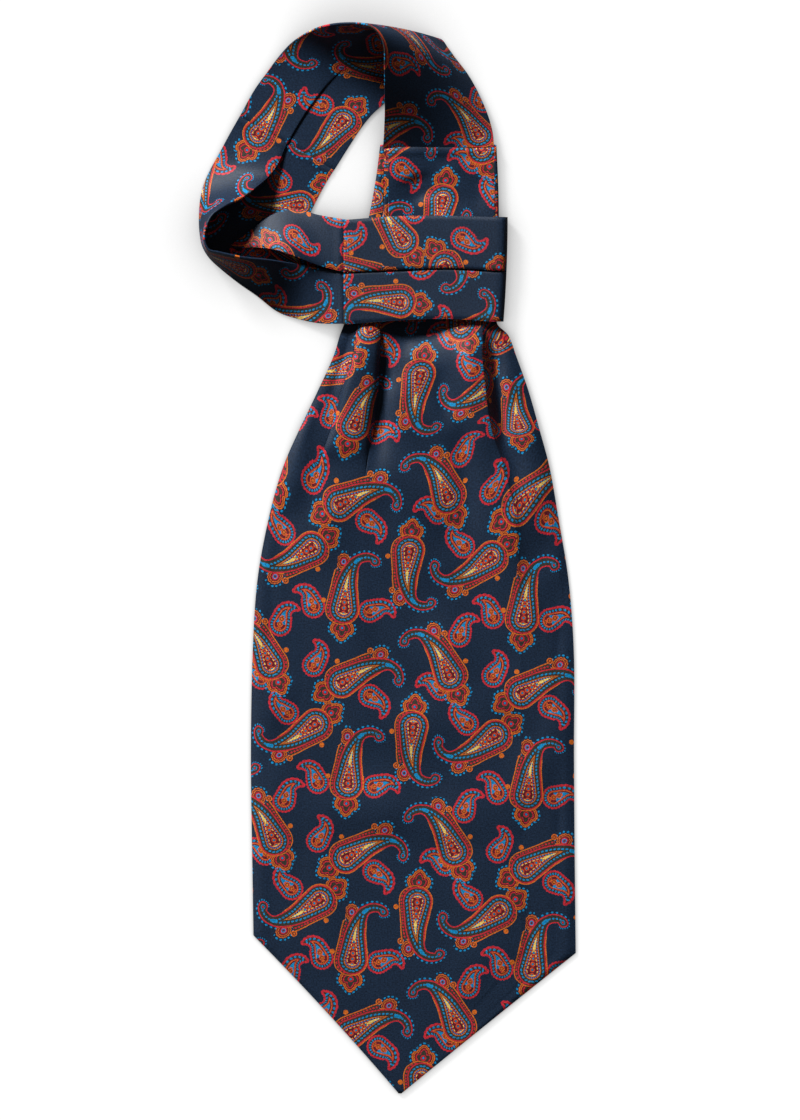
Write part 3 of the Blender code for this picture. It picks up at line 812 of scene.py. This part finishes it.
class Graph:
    """Adds nodes to a tree, fed by sockets or plain values."""

    def __init__(self, tree):
        self.tree = tree

    def node(self, kind):
        return self.tree.nodes.new(kind)

    def feed(self, socket, value):
        if isinstance(value, bpy.types.NodeSocket):
            self.tree.links.new(value, socket)
        elif value is not None:
            socket.default_value = value

    def math(self, operation, a, b=None, c=None, clamp=False):
        node = self.node("ShaderNodeMath")
        node.operation = operation
        node.use_clamp = clamp
        for socket, value in zip(node.inputs, (a, b, c)):
            self.feed(socket, value)
        return node.outputs[0]

    def vector_math(self, operation, *values):
        node = self.node("ShaderNodeVectorMath")
        node.operation = operation
        for socket, value in zip(node.inputs, values):
            self.feed(socket, value)
        single = operation in ("LENGTH", "DISTANCE", "DOT_PRODUCT")
        return node.outputs["Value" if single else "Vector"]

    def combine(self, x, y):
        node = self.node("ShaderNodeCombineXYZ")
        self.feed(node.inputs[0], x)
        self.feed(node.inputs[1], y)
        return node.outputs[0]

    def separate(self, vector):
        node = self.node("ShaderNodeSeparateXYZ")
        self.feed(node.inputs[0], vector)
        return node.outputs[0], node.outputs[1]

    def length(self, x, y):
        return self.vector_math("LENGTH", self.combine(x, y))

    def mix(self, factor, a, b):
        node = self.node("ShaderNodeMix")
        node.data_type = "FLOAT"
        self.feed(node.inputs[0], factor)
        self.feed(node.inputs[2], a)
        self.feed(node.inputs[3], b)
        return node.outputs[0]

    def mix_vector(self, factor, a, b):
        node = self.node("ShaderNodeMix")
        node.data_type = "VECTOR"
        self.feed(node.inputs[0], factor)
        self.feed(node.inputs[4], a)
        self.feed(node.inputs[5], b)
        return node.outputs[1]

    def mix_colour(self, factor, a, b):
        node = self.node("ShaderNodeMix")
        node.data_type = "RGBA"
        self.feed(node.inputs[0], factor)
        self.feed(node.inputs[6], a)
        self.feed(node.inputs[7], b)
        return node.outputs[2]

    def ramp(self, value, stops):
        """Bands of colour: each stop is where its band starts, in mm, and its colour."""
        low = stops[0][0]
        span = stops[-1][0] + 1.0 - low
        node = self.node("ShaderNodeValToRGB")
        node.color_ramp.interpolation = "CONSTANT"
        bands = node.color_ramp.elements
        while len(bands) < len(stops):
            bands.new(1.0)
        for band, (at, colour) in zip(bands, stops):
            band.position = (at - low) / span
            band.color = colour
        self.feed(node.inputs[0], muladd(self, value, 1.0 / span, -low / span))
        return node.outputs[0]

    def curve(self, value, points, tall):
        """A smooth curve through points whose first number runs from 0 to 1."""
        node = self.node("ShaderNodeFloatCurve")
        line = node.mapping.curves[0].points
        while len(line) < len(points):
            line.new(0.5, 0.5)
        for knot, (at, height) in zip(line, points):
            knot.location = (at, height / tall)
        node.mapping.update()
        self.feed(node.inputs["Value"], value)
        return mul(self, node.outputs[0], tall)


def add(g, a, b):
    return g.math("ADD", a, b)


def sub(g, a, b):
    return g.math("SUBTRACT", a, b)


def mul(g, a, b):
    return g.math("MULTIPLY", a, b)


def muladd(g, a, b, c):
    return g.math("MULTIPLY_ADD", a, b, c)


def less(g, a, b):
    return g.math("LESS_THAN", a, b)


def more(g, a, b):
    return g.math("GREATER_THAN", a, b)


def least(g, a, b):
    return g.math("MINIMUM", a, b)


def most(g, a, b):
    return g.math("MAXIMUM", a, b)


def unbend(g, x, y, start, radius):
    """Coordinates along and across a line that is straight up to start and then an arc."""
    ahead = sub(g, x, start)
    inwards = sub(g, radius, y)
    turn = g.math("ARCTAN2", ahead, inwards)
    along = muladd(g, turn, radius, start)
    across = sub(g, radius, g.length(ahead, inwards))
    bent = more(g, ahead, 0.0)
    return g.mix(bent, x, along), g.mix(bent, y, across)


def taper(g, x, y, near, far, length, bulge=0.0):
    """How deep a point lies inside a tapered bar with round ends."""
    slope = (near - far) / length
    flank = sqrt(1 - slope * slope)
    side = g.math("ABSOLUTE", y)
    foot = muladd(g, side, -slope / flank, x)
    share = g.math("MULTIPLY", foot, 1.0 / length, clamp=True)
    beside = g.length(muladd(g, share, -length, x), side)
    radius = muladd(g, share, far - near, near)
    if bulge:
        radius = muladd(g, mul(g, share, sub(g, 1.0, share)), bulge, radius)
    return sub(g, radius, beside)


def beads(g, along, across, spacing, half_length, half_width, slant=0.0):
    """1 inside a row of oval beads along a line, 0 outside."""
    if slant:
        along = muladd(g, across, slant, along)
    cell = g.math("WRAP", along, spacing / 2, -spacing / 2)
    reach = g.length(mul(g, cell, 1.0 / half_length), mul(g, across, 1.0 / half_width))
    return less(g, reach, 1.0)


def round_path(g, x, y, radius):
    """Distance along a line that runs beside y = 0 and turns round a circle at its start."""
    straight = most(g, x, 0.0)
    behind = mul(g, least(g, x, 0.0), -1.0)
    turn = g.math("ARCTAN2", behind, g.math("ABSOLUTE", y))
    return muladd(g, turn, -radius, straight)


def paisley(g, x, y, ink):
    """The large motif. x runs from its bud to its tail, y to the side where the tail curls.

    s and d are the same two along and across the bent motif. Every size is in mm."""
    s, d = unbend(g, x, y, *BODY_BEND)
    s, d = unbend(g, s, d, *TAIL_BEND)
    body = taper(g, s, d, 6.1, 1.65, 25.0, 0.6)
    tail = taper(g, sub(g, s, 24.0), d, 1.7, 1.65, 9.2)
    end_x = sub(g, s, TAIL_END[0])
    end_y = sub(g, d, TAIL_END[1])
    end_reach = g.length(end_x, end_y)
    deep = most(g, most(g, body, tail), sub(g, 2.3, end_reach))
    inner = muladd(g, most(g, s, 0.0), -0.035, deep)
    outside = mul(g, deep, -1.0)
    # Away from the curl the outer band is a wide cloak that holds dots.
    cloak = mul(g, g.math("MULTIPLY_ADD", s, 0.22, 1.9, clamp=True), less(g, s, 16.6))
    cloak = mul(g, cloak, g.math("MULTIPLY_ADD", d, -0.35, 0.2, clamp=True))
    flare = muladd(g, most(g, sub(g, s, 10.5), 0.0), 0.17, 1.35)
    narrow = g.math("MULTIPLY_ADD", s, 0.33, -5.6, clamp=True)
    rim_at = muladd(g, cloak, flare, 0.62)
    rim_end = add(g, rim_at, muladd(g, narrow, -0.5, 0.52))
    on_tail = more(g, s, TAIL_FROM)
    colour = g.ramp(
        inner,
        [
            (-9.0, ink.olive),
            (2.05, ink.orange),
            (2.42, ink.maroon),
            (3.15, ink.crimson),
            (CORE_EDGE, ink.maroon),
        ],
    )
    # Beads in the olive band close up on the line of the tail.
    path = round_path(g, s, d, 4.9)
    bead_depth = least(g, muladd(g, most(g, s, 0.0), 0.03, 1.05), 1.65)
    bead = beads(g, path, sub(g, deep, bead_depth), BEAD_SPACING, 0.6, 0.44, 0.6)
    colour = g.mix_colour(bead, colour, ink.turquoise)
    blob = less(g, g.length(mul(g, sub(g, s, 24.0), 0.52), mul(g, d, 1.2)), 1.0)
    colour = g.mix_colour(blob, colour, ink.turquoise)
    # The core holds rows of dots, a broken yellow line, rosettes and a flame.
    ring = mul(g, beads(g, path, sub(g, inner, 2.8), 1.25, 0.36, 0.3), less(g, s, 15.0))
    colour = g.mix_colour(ring, colour, ink.turquoise)
    core = more(g, inner, CORE_EDGE)
    broken = less(g, g.math("SINE", mul(g, s, 3.4)), 0.2)
    yellow_line = mul(g, mul(g, less(g, inner, CORE_INNER), broken), core)
    colour = g.mix_colour(yellow_line, colour, ink.yellow)
    rose_reach = g.length(g.math("WRAP", sub(g, s, 0.5), 1.3, -1.3), d)
    rose = g.ramp(
        rose_reach,
        [
            (0.0, ink.turquoise),
            (0.42, ink.maroon),
            (0.65, ink.orange),
            (0.95, ink.crimson),
        ],
    )
    rose_here = mul(g, less(g, rose_reach, 1.2), more(g, inner, CORE_INNER))
    rose_here = mul(g, rose_here, less(g, s, 10.0))
    colour = g.mix_colour(rose_here, colour, rose)
    flame_wide = least(g, muladd(g, s, 0.5, -4.4), muladd(g, s, -0.11, 1.85))
    flame = less(g, g.math("ABSOLUTE", d), flame_wide)
    colour = g.mix_colour(mul(g, flame, more(g, inner, 2.42)), colour, ink.yellow)
    eye = g.ramp(
        end_reach,
        [(0.0, ink.crimson), (0.5, ink.olive), (0.9, ink.turquoise), (1.25, ink.olive)],
    )
    colour = g.mix_colour(less(g, end_reach, 1.5), colour, eye)
    # Outer bands: a crimson line, a dark or dotted gap and an orange rim.
    dots = beads(g, path, sub(g, outside, muladd(g, rim_at, 0.5, 0.3)), 1.3, 0.46, 0.42)
    gap = g.mix_colour(mul(g, dots, more(g, cloak, 0.5)), ink.olive, ink.crimson)
    band = g.mix_colour(more(g, outside, 0.6), ink.crimson, gap)
    band = g.mix_colour(more(g, outside, rim_at), band, ink.orange)
    band = g.mix_colour(on_tail, band, ink.crimson)
    colour = g.mix_colour(more(g, outside, 0.0), colour, band)
    mask = less(g, outside, g.mix(on_tail, rim_end, 0.6))
    under, under_mask = trimmings(g, x, y, s, d, outside, end_x, end_y, ink)
    return g.mix_colour(mask, under, colour), most(g, mask, under_mask)


def trimmings(g, x, y, s, d, outside, end_x, end_y, ink):
    """What lies beside and behind the large motif: dots, calyx, bud, hook and berry."""
    turn = g.math("WRAP", g.math("ARCTAN2", end_x, mul(g, end_y, -1.0)), tau, 0.0)
    before_end = mul(g, less(g, end_x, 0.0), less(g, end_y, 0.0))
    path = g.mix(before_end, mul(g, turn, 3.95), end_x)
    tail_dots = beads(g, path, sub(g, outside, 1.3), BEAD_SPACING, 0.46, 0.42)
    where = mul(g, more(g, s, TAIL_FROM), g.mix(more(g, s, 31.0), less(g, d, 0.0), 1.0))
    mask = mul(g, tail_dots, where)

    calyx_x = sub(g, x, 22.0)
    calyx_y = add(g, y, 2.2)
    calyx_reach = g.length(mul(g, calyx_x, 0.85), calyx_y)
    calyx_turn = g.math("ARCTAN2", calyx_x, calyx_y)
    scallop = g.math("ABSOLUTE", g.math("SINE", mul(g, calyx_turn, 7.0)))
    calyx_deep = muladd(g, scallop, 0.3, sub(g, 3.0, calyx_reach))
    calyx = g.ramp(
        calyx_deep,
        [
            (-1.0, ink.orange),
            (0.4, ink.maroon),
            (0.8, ink.orange),
            (1.15, ink.maroon),
            (1.7, ink.crimson),
            (2.2, ink.turquoise),
            (2.6, ink.maroon),
        ],
    )
    calyx_mask = more(g, calyx_deep, 0.0)
    calyx_dots = beads(
        g, mul(g, calyx_turn, 3.9), add(g, calyx_reach, -4.05), BEAD_SPACING, 0.5, 0.42
    )
    calyx_dots = mul(g, calyx_dots, less(g, calyx_y, 1.0))
    colour = g.mix_colour(calyx_mask, ink.turquoise, calyx)
    mask = most(g, mask, most(g, calyx_dots, calyx_mask))

    bud_x = mul(g, add(g, x, 8.9), -1.0)
    bud_reach = g.length(bud_x, y)
    bud_turn = g.math("ARCTAN2", g.math("ABSOLUTE", y), bud_x)
    bud_radius = g.curve(
        mul(g, bud_turn, 1 / pi),
        [
            (0.0, 5.9),
            (0.06, 5.5),
            (0.17, 4.7),
            (0.26, 4.15),
            (0.34, 5.0),
            (0.42, 5.3),
            (0.6, 5.0),
            (1.0, 4.0),
        ],
        8.0,
    )
    ruffle = g.math("ABSOLUTE", g.math("SINE", mul(g, bud_turn, 10.5)))
    bud_deep = sub(g, muladd(g, ruffle, 0.25, bud_radius), bud_reach)
    bud = g.ramp(
        bud_deep,
        [
            (-1.0, ink.orange),
            (0.5, ink.maroon),
            (0.8, ink.orange),
            (1.25, ink.maroon),
            (1.9, ink.crimson),
            (2.4, ink.olive),
        ],
    )
    heart_reach = g.length(add(g, bud_x, 0.1), y)
    heart = g.ramp(
        heart_reach, [(0.0, ink.turquoise), (0.5, ink.maroon), (0.75, ink.crimson)]
    )
    bud = g.mix_colour(less(g, heart_reach, 1.35), bud, heart)
    bud_path = mul(g, bud_turn, 5.6)
    bud_dots = beads(g, bud_path, add(g, bud_deep, 0.8), BEAD_SPACING, 0.52, 0.44)
    bud_dots = mul(g, bud_dots, more(g, bud_x, -2.5))
    bud_mask = more(g, bud_deep, 0.0)
    colour = g.mix_colour(bud_dots, colour, ink.turquoise)
    colour = g.mix_colour(bud_mask, colour, bud)
    mask = most(g, mask, most(g, bud_dots, bud_mask))

    hook_reach = g.length(sub(g, x, 18.8), add(g, y, 6.1))
    hook = g.ramp(hook_reach, [(0.0, ink.orange), (0.5, ink.maroon), (0.9, ink.orange)])
    hook_mask = less(g, hook_reach, 1.45)
    colour = g.mix_colour(hook_mask, colour, hook)
    berry = less(g, g.length(sub(g, s, 3.2), add(g, d, 9.6)), 1.15)
    colour = g.mix_colour(berry, colour, ink.orange)
    return colour, most(g, mask, most(g, hook_mask, berry))


def leaf(g, x, y, ink):
    """The small scalloped leaf. x runs from its round end to its hooked tip, in mm."""
    s, d = unbend(g, x, y, 5.0, 4.6)
    deep = taper(g, s, d, 5.2, 0.75, 13.8, 2.2)
    path = round_path(g, s, d, 4.6)
    scallop = g.math("ABSOLUTE", g.math("SINE", mul(g, path, pi / 1.45)))
    edge = muladd(g, scallop, 0.32, deep)
    inner = muladd(g, most(g, s, 0.0), -0.02, deep)
    colour = g.ramp(
        inner,
        [
            (-9.0, ink.crimson),
            (0.6, ink.olive),
            (2.05, ink.crimson),
            (2.4, ink.orange),
            (2.75, ink.maroon),
        ],
    )
    bead = mul(g, beads(g, path, sub(g, deep, 1.38), 1.45, 0.43, 0.52), less(g, s, 12.0))
    colour = g.mix_colour(bead, colour, ink.turquoise)
    flame_wide = muladd(g, s, -0.33, 2.5)
    flame = mul(g, less(g, g.math("ABSOLUTE", sub(g, d, 0.2)), flame_wide), more(g, s, 0.6))
    colour = g.mix_colour(mul(g, flame, more(g, inner, 2.3)), colour, ink.turquoise)
    reach = g.length(g.math("WRAP", sub(g, s, 0.1), 1.3, -1.3), d)
    rose = g.ramp(
        reach,
        [(0.0, ink.orange), (0.55, ink.maroon), (0.85, ink.orange), (1.2, ink.crimson)],
    )
    here = mul(g, mul(g, less(g, reach, 1.35), less(g, s, 4.4)), more(g, inner, 3.0))
    colour = g.mix_colour(here, colour, rose)
    return colour, more(g, edge, 0.0)


def in_motif(g, place, motif, fields):
    """A point's coordinates in the nearest copy of a motif, and how far it lies outside it."""
    (ax, ay), (bx, by) = REPEAT_ACROSS, REPEAT_ALONG
    area = ax * by - bx * ay
    across = (motif.x * by - motif.y * bx) / area
    along = (motif.y * ax - motif.x * ay) / area
    moved = g.vector_math("SUBTRACT", place, (across, along, 0.0))
    cell = g.vector_math("WRAP", moved, (0.5, 0.5, 1.0), (-0.5, -0.5, -1.0))
    c, s = cos(radians(motif.turn)), sin(radians(motif.turn))
    x = g.vector_math("DOT_PRODUCT", cell, (ax * c + ay * s, bx * c + by * s, 0.0))
    side = motif.curl
    y = g.vector_math(
        "DOT_PRODUCT", cell, (side * (ay * c - ax * s), side * (by * c - bx * s), 0.0)
    )
    local = g.combine(x, y)
    outside = None
    for field_x, field_y, radius in fields:
        beyond = sub(g, g.vector_math("DISTANCE", local, (field_x, field_y, 0.0)), radius)
        outside = beyond if outside is None else least(g, outside, beyond)
    return local, outside


def nearest(g, place, motifs, fields):
    """Coordinates in whichever motif of a kind lies nearest."""
    local, outside = in_motif(g, place, motifs[0], fields)
    for motif in motifs[1:]:
        other, beyond = in_motif(g, place, motif, fields)
        closer = less(g, beyond, outside)
        local = g.mix_vector(closer, local, other)
        outside = least(g, outside, beyond)
    return local


def new_group(name, inputs, outputs):
    """An empty node group with named sockets, and its input and output nodes."""
    tree = bpy.data.node_groups.new(name, "ShaderNodeTree")
    for label, kind in inputs:
        tree.interface.new_socket(name=label, in_out="INPUT", socket_type=kind)
    for label, kind in outputs:
        tree.interface.new_socket(name=label, in_out="OUTPUT", socket_type=kind)
    entry = tree.nodes.new("NodeGroupInput")
    leave = tree.nodes.new("NodeGroupOutput")
    return tree, entry, leave


def motif_group(name, draw, ink):
    """A group that draws one motif from a place in mm within it."""
    if name in bpy.data.node_groups:
        return bpy.data.node_groups[name]
    tree, entry, leave = new_group(
        name,
        [("Place", "NodeSocketVector")],
        [("Colour", "NodeSocketColor"), ("Mask", "NodeSocketFloat")],
    )
    g = Graph(tree)
    x, y = g.separate(entry.outputs["Place"])
    colour, mask = draw(g, x, y, ink)
    tree.links.new(colour, leave.inputs["Colour"])
    tree.links.new(mask, leave.inputs["Mask"])
    return tree


Ink = namedtuple("Ink", "ground crimson orange olive turquoise yellow maroon")


def inks():
    """The print's colours, as the panel has them."""
    dye = bpy.context.scene.cravat_dyes
    return Ink(*((*getattr(dye, name), 1.0) for name in Ink._fields))


def print_group():
    """The whole print: large motifs over small leaves over the ground."""
    name = "Paisley Print"
    if name in bpy.data.node_groups:
        return bpy.data.node_groups[name]
    ink = inks()
    tree, entry, leave = new_group(
        name,
        [("Cloth", "NodeSocketVector")],
        [("Colour", "NodeSocketColor"), ("Printed", "NodeSocketFloat")],
    )
    g = Graph(tree)
    (ax, ay), (bx, by) = REPEAT_ACROSS, REPEAT_ALONG
    area = (ax * by - bx * ay) * MM
    cloth_place = entry.outputs["Cloth"]
    across = g.vector_math("DOT_PRODUCT", cloth_place, (by / area, -bx / area, 0.0))
    along = g.vector_math("DOT_PRODUCT", cloth_place, (-ay / area, ax / area, 0.0))
    place = g.combine(across, along)
    colour = ink.ground
    printed = None
    kinds = (
        ("Scalloped Leaf", leaf, LEAVES, LEAF_FIELDS),
        ("Large Paisley", paisley, PAISLEYS, PAISLEY_FIELDS),
    )
    for label, draw, motifs, fields in kinds:
        node = g.node("ShaderNodeGroup")
        node.node_tree = motif_group(label, draw, ink)
        tree.links.new(nearest(g, place, motifs, fields), node.inputs["Place"])
        mask = node.outputs["Mask"]
        colour = g.mix_colour(mask, colour, node.outputs["Colour"])
        printed = mask if printed is None else most(g, printed, mask)
    tree.links.new(colour, leave.inputs["Colour"])
    tree.links.new(printed, leave.inputs["Printed"])
    return tree


def weave_group():
    """Fine twill with a slow unevenness: a height for the bump and a shade for the dye."""
    name = "Silk Twill"
    if name in bpy.data.node_groups:
        return bpy.data.node_groups[name]
    tree, entry, leave = new_group(
        name,
        [("Cloth", "NodeSocketVector"), ("Rib", "NodeSocketFloat")],
        [("Height", "NodeSocketFloat"), ("Shade", "NodeSocketFloat")],
    )
    g = Graph(tree)
    cloth_place = entry.outputs["Cloth"]
    across, along = g.separate(cloth_place)
    diagonal = g.math("DIVIDE", add(g, across, along), entry.outputs["Rib"])
    cross = g.math("DIVIDE", sub(g, across, along), entry.outputs["Rib"])
    rib = g.math("SINE", mul(g, diagonal, tau))
    thread = g.math("SINE", mul(g, cross, tau * 0.5))
    clouds = g.node("ShaderNodeTexNoise")
    clouds.inputs["Scale"].default_value = 60.0
    clouds.inputs["Detail"].default_value = 3.0
    g.feed(clouds.inputs["Vector"], cloth_place)
    grain = g.node("ShaderNodeTexNoise")
    grain.inputs["Scale"].default_value = 1400.0
    grain.inputs["Detail"].default_value = 1.0
    g.feed(grain.inputs["Vector"], cloth_place)
    height = muladd(g, thread, THREAD_HIGH, rib)
    shade = muladd(g, clouds.outputs["Fac"], CLOUDS, -CLOUDS / 2)
    shade = muladd(g, grain.outputs["Fac"], GRAIN, shade)
    tree.links.new(height, leave.inputs["Height"])
    tree.links.new(shade, leave.inputs["Shade"])
    return tree


def silk(name, reverse):
    """Printed silk twill. The reverse face of a folded band shows the print the other way."""
    if name in bpy.data.materials:
        return bpy.data.materials[name]
    dye = bpy.context.scene.cravat_dyes
    material = bpy.data.materials.new(name)
    material.use_nodes = True
    tree = material.node_tree
    g = Graph(tree)
    shader = tree.nodes["Principled BSDF"]
    uv = g.node("ShaderNodeUVMap")
    uv.uv_map = UV_NAME
    place = uv.outputs["UV"]
    if reverse:
        place = g.vector_math(
            "MULTIPLY_ADD", place, (-1.0, 1.0, 1.0), (REVERSE_SHIFT * MM, 0.0, 0.0)
        )
    pattern = g.node("ShaderNodeGroup")
    pattern.node_tree = print_group()
    g.feed(pattern.inputs["Cloth"], place)
    weave = g.node("ShaderNodeGroup")
    weave.node_tree = weave_group()
    g.feed(weave.inputs["Cloth"], place)
    weave.inputs["Rib"].default_value = dye.rib
    shaded = g.vector_math("SCALE", pattern.outputs["Colour"])
    tree.links.new(weave.outputs["Shade"], shaded.node.inputs["Scale"])
    tree.links.new(shaded, shader.inputs["Base Color"])
    rough = muladd(g, pattern.outputs["Printed"], PRINT_ROUGHER, dye.roughness)
    tree.links.new(rough, shader.inputs["Roughness"])
    bump = g.node("ShaderNodeBump")
    bump.inputs["Strength"].default_value = 0.35
    bump.inputs["Distance"].default_value = 0.00004
    tree.links.new(weave.outputs["Height"], bump.inputs["Height"])
    tree.links.new(bump.outputs["Normal"], shader.inputs["Normal"])
    shader.inputs["Specular IOR Level"].default_value = 0.28
    shader.inputs["Sheen Weight"].default_value = dye.sheen
    shader.inputs["Sheen Roughness"].default_value = 0.4
    shader.inputs["Sheen Tint"].default_value = (0.62, 0.74, 1.0, 1.0)
    return material


def plain(name, colour, roughness):
    """A material of one colour."""
    material = bpy.data.materials.new(name)
    material.use_nodes = True
    shader = material.node_tree.nodes["Principled BSDF"]
    shader.inputs["Base Color"].default_value = colour
    shader.inputs["Roughness"].default_value = roughness
    return material


# ---------------------------------------------------------------- properties and operators


def dye_property(label, colour):
    """A colour that the panel shows."""
    return bpy.props.FloatVectorProperty(
        name=label,
        description="Colour of the " + label.lower(),
        subtype="COLOR",
        size=3,
        min=0.0,
        max=1.0,
        default=colour,
    )


class CravatDyes(bpy.types.PropertyGroup):
    """Colours and finish of the printed silk."""

    ground: dye_property("Ground", (0.0100, 0.0230, 0.0500))
    crimson: dye_property("Crimson", (0.58, 0.022, 0.038))
    orange: dye_property("Orange", (0.66, 0.145, 0.014))
    olive: dye_property("Olive band", (0.042, 0.035, 0.026))
    turquoise: dye_property("Turquoise", (0.004, 0.26, 0.55))
    yellow: dye_property("Yellow", (0.85, 0.60, 0.15))
    maroon: dye_property("Maroon", (0.13, 0.012, 0.020))
    roughness: bpy.props.FloatProperty(
        name="Roughness",
        description="Roughness of the silk's ground",
        default=0.47,
        min=0.05,
        max=1.0,
        subtype="FACTOR",
    )
    sheen: bpy.props.FloatProperty(
        name="Sheen",
        description="Strength of the silk's soft sheen",
        default=0.05,
        min=0.0,
        max=1.0,
        subtype="FACTOR",
    )
    rib: bpy.props.FloatProperty(
        name="Twill rib",
        description="Distance from one rib of the twill to the next",
        default=0.0004,
        min=0.0001,
        max=0.01,
        unit="LENGTH",
    )


class CravatCut(bpy.types.PropertyGroup):
    """Sizes of the cloth."""

    shell: bpy.props.FloatProperty(
        name="Cloth thickness",
        description="Thickness of the folded silk wall",
        default=0.0009,
        min=0.0002,
        max=0.003,
        unit="LENGTH",
    )


class CravatStage(bpy.types.PropertyGroup):
    """Floor, light and camera."""

    floor_colour: dye_property("Floor", (0.14, 0.14, 0.14))
    floor_glow: bpy.props.FloatProperty(
        name="Floor glow",
        description="Brightness that the floor shows the camera of itself",
        default=0.93,
    )
    key_power: bpy.props.FloatProperty(
        name="Key light",
        description="Power of the one large light",
        default=400.0,
        unit="POWER",
    )
    ambient: bpy.props.FloatProperty(
        name="Room light", description="Strength of the even light all round", default=0.05
    )
    lens: bpy.props.FloatProperty(
        name="Lens",
        description="The camera's focal length in millimetres",
        default=400.0,
        unit="CAMERA",
    )


class CRAVAT_OT_blades(bpy.types.Operator):
    """Build the gathered front blade and the back blade that lies hidden under it"""

    bl_idname = "cravat.blades"
    bl_label = "Blades"

    def execute(self, context):
        shell = context.scene.cravat_cut.shell
        front_blade(shell)
        back_blade_under(shell)
        return {"FINISHED"}


class CRAVAT_OT_wrap(bpy.types.Operator):
    """Build the back blade's pleated top, which wraps the front blade's neck"""

    bl_idname = "cravat.wrap"
    bl_label = "Wrap"

    def execute(self, context):
        back_blade_wrap(context.scene.cravat_cut.shell)
        return {"FINISHED"}


class CRAVAT_OT_neckband(bpy.types.Operator):
    """Build the neckband: its rolled right half and the three stretches of its left half"""

    bl_idname = "cravat.neckband"
    bl_label = "Neckband"

    def execute(self, context):
        shell = context.scene.cravat_cut.shell
        neckband_right(shell)
        neckband_left_outer(shell)
        neckband_left_inner(shell)
        neckband_left_upper(shell)
        return {"FINISHED"}


def area_light(name, place, target, wide, power):
    """A round area light that faces a target."""
    lamp = bpy.data.lights.new(name, "AREA")
    lamp.shape = "DISK"
    lamp.size = wide
    lamp.energy = power
    holder = bpy.data.objects.new(name, lamp)
    bpy.context.scene.collection.objects.link(holder)
    holder.location = place
    way = Vector(target) - Vector(place)
    holder.rotation_euler = way.to_track_quat("-Z", "Y").to_euler()


class CRAVAT_OT_stage(bpy.types.Operator):
    """Lay the white floor, set the key light and the room's, and hang the camera above"""

    bl_idname = "cravat.stage"
    bl_label = "Stage"

    def execute(self, context):
        scene = context.scene
        settings = scene.cravat_stage
        low, high = CAD_BOX
        shape = bmesh.new()
        bmesh.ops.create_grid(shape, x_segments=1, y_segments=1, size=FLOOR_REACH)
        mesh = bpy.data.meshes.new("floor")
        shape.to_mesh(mesh)
        shape.free()
        floor = bpy.data.objects.new("floor", mesh)
        scene.collection.objects.link(floor)
        paper = plain("floor_paper", (*settings.floor_colour, 1.0), 0.9)
        glow = paper.node_tree.nodes["Principled BSDF"]
        glow.inputs["Emission Color"].default_value = (1.0, 1.0, 1.0, 1.0)
        g = Graph(paper.node_tree)
        # The floor's glow, seen only by the camera, is darkened near the cloth by ambient occlusion:
        # painted shade round the cloth.
        seen = g.node("ShaderNodeLightPath").outputs["Is Camera Ray"]
        painted_floor_shade = g.node("ShaderNodeAmbientOcclusion")
        painted_floor_shade.inputs["Distance"].default_value = SHADE_REACH
        glow_with_painted_shade = mul(g, painted_floor_shade.outputs["AO"], settings.floor_glow)
        g.feed(glow.inputs["Emission Strength"], mul(g, seen, glow_with_painted_shade))
        mesh.materials.append(paper)

        area_light("key", KEY_PLACE, (low + high) / 2, KEY_WIDE, settings.key_power)
        world = bpy.data.worlds.new("room")
        world.use_nodes = True
        backdrop = world.node_tree.nodes["Background"]
        backdrop.inputs["Color"].default_value = (1.0, 1.0, 1.0, 1.0)
        backdrop.inputs["Strength"].default_value = settings.ambient
        scene.world = world
        scene.view_settings.view_transform = "Standard"

        lens = bpy.data.cameras.new("camera")
        lens.lens = settings.lens
        lens.sensor_width = SENSOR
        camera = bpy.data.objects.new("camera", lens)
        camera.location = (*VIEW_MIDDLE, VIEW_HEIGHT * settings.lens / SENSOR)
        scene.collection.objects.link(camera)
        scene.camera = camera
        return {"FINISHED"}


OPERATORS = (CRAVAT_OT_blades, CRAVAT_OT_wrap, CRAVAT_OT_neckband, CRAVAT_OT_stage)


class CRAVAT_PT_panel(bpy.types.Panel):
    """The cravat's settings and the buttons that build it"""

    bl_idname = "CRAVAT_PT_panel"
    bl_label = "Cravat"
    bl_space_type = "VIEW_3D"
    bl_region_type = "UI"
    bl_category = "Cravat"

    def draw(self, context):
        scene = context.scene
        for settings in (scene.cravat_cut, scene.cravat_dyes, scene.cravat_stage):
            box = self.layout.box()
            for name in type(settings).__annotations__:
                box.prop(settings, name)
        for operator in OPERATORS:
            self.layout.operator(operator.bl_idname)


CLASSES = (CravatDyes, CravatCut, CravatStage, *OPERATORS, CRAVAT_PT_panel)


def register():
    """Adds the settings, the operators and the panel."""
    for kind in CLASSES:
        bpy.utils.register_class(kind)
    bpy.types.Scene.cravat_dyes = bpy.props.PointerProperty(type=CravatDyes)
    bpy.types.Scene.cravat_cut = bpy.props.PointerProperty(type=CravatCut)
    bpy.types.Scene.cravat_stage = bpy.props.PointerProperty(type=CravatStage)


def unregister():
    """Takes them away again."""
    del bpy.types.Scene.cravat_stage
    del bpy.types.Scene.cravat_cut
    del bpy.types.Scene.cravat_dyes
    for kind in reversed(CLASSES):
        bpy.utils.unregister_class(kind)


def main():
    """Builds the cravat and its stage."""
    register()
    bpy.ops.cravat.blades()
    bpy.ops.cravat.wrap()
    bpy.ops.cravat.neckband()
    bpy.ops.cravat.stage()


if __name__ == "__main__":
    main()
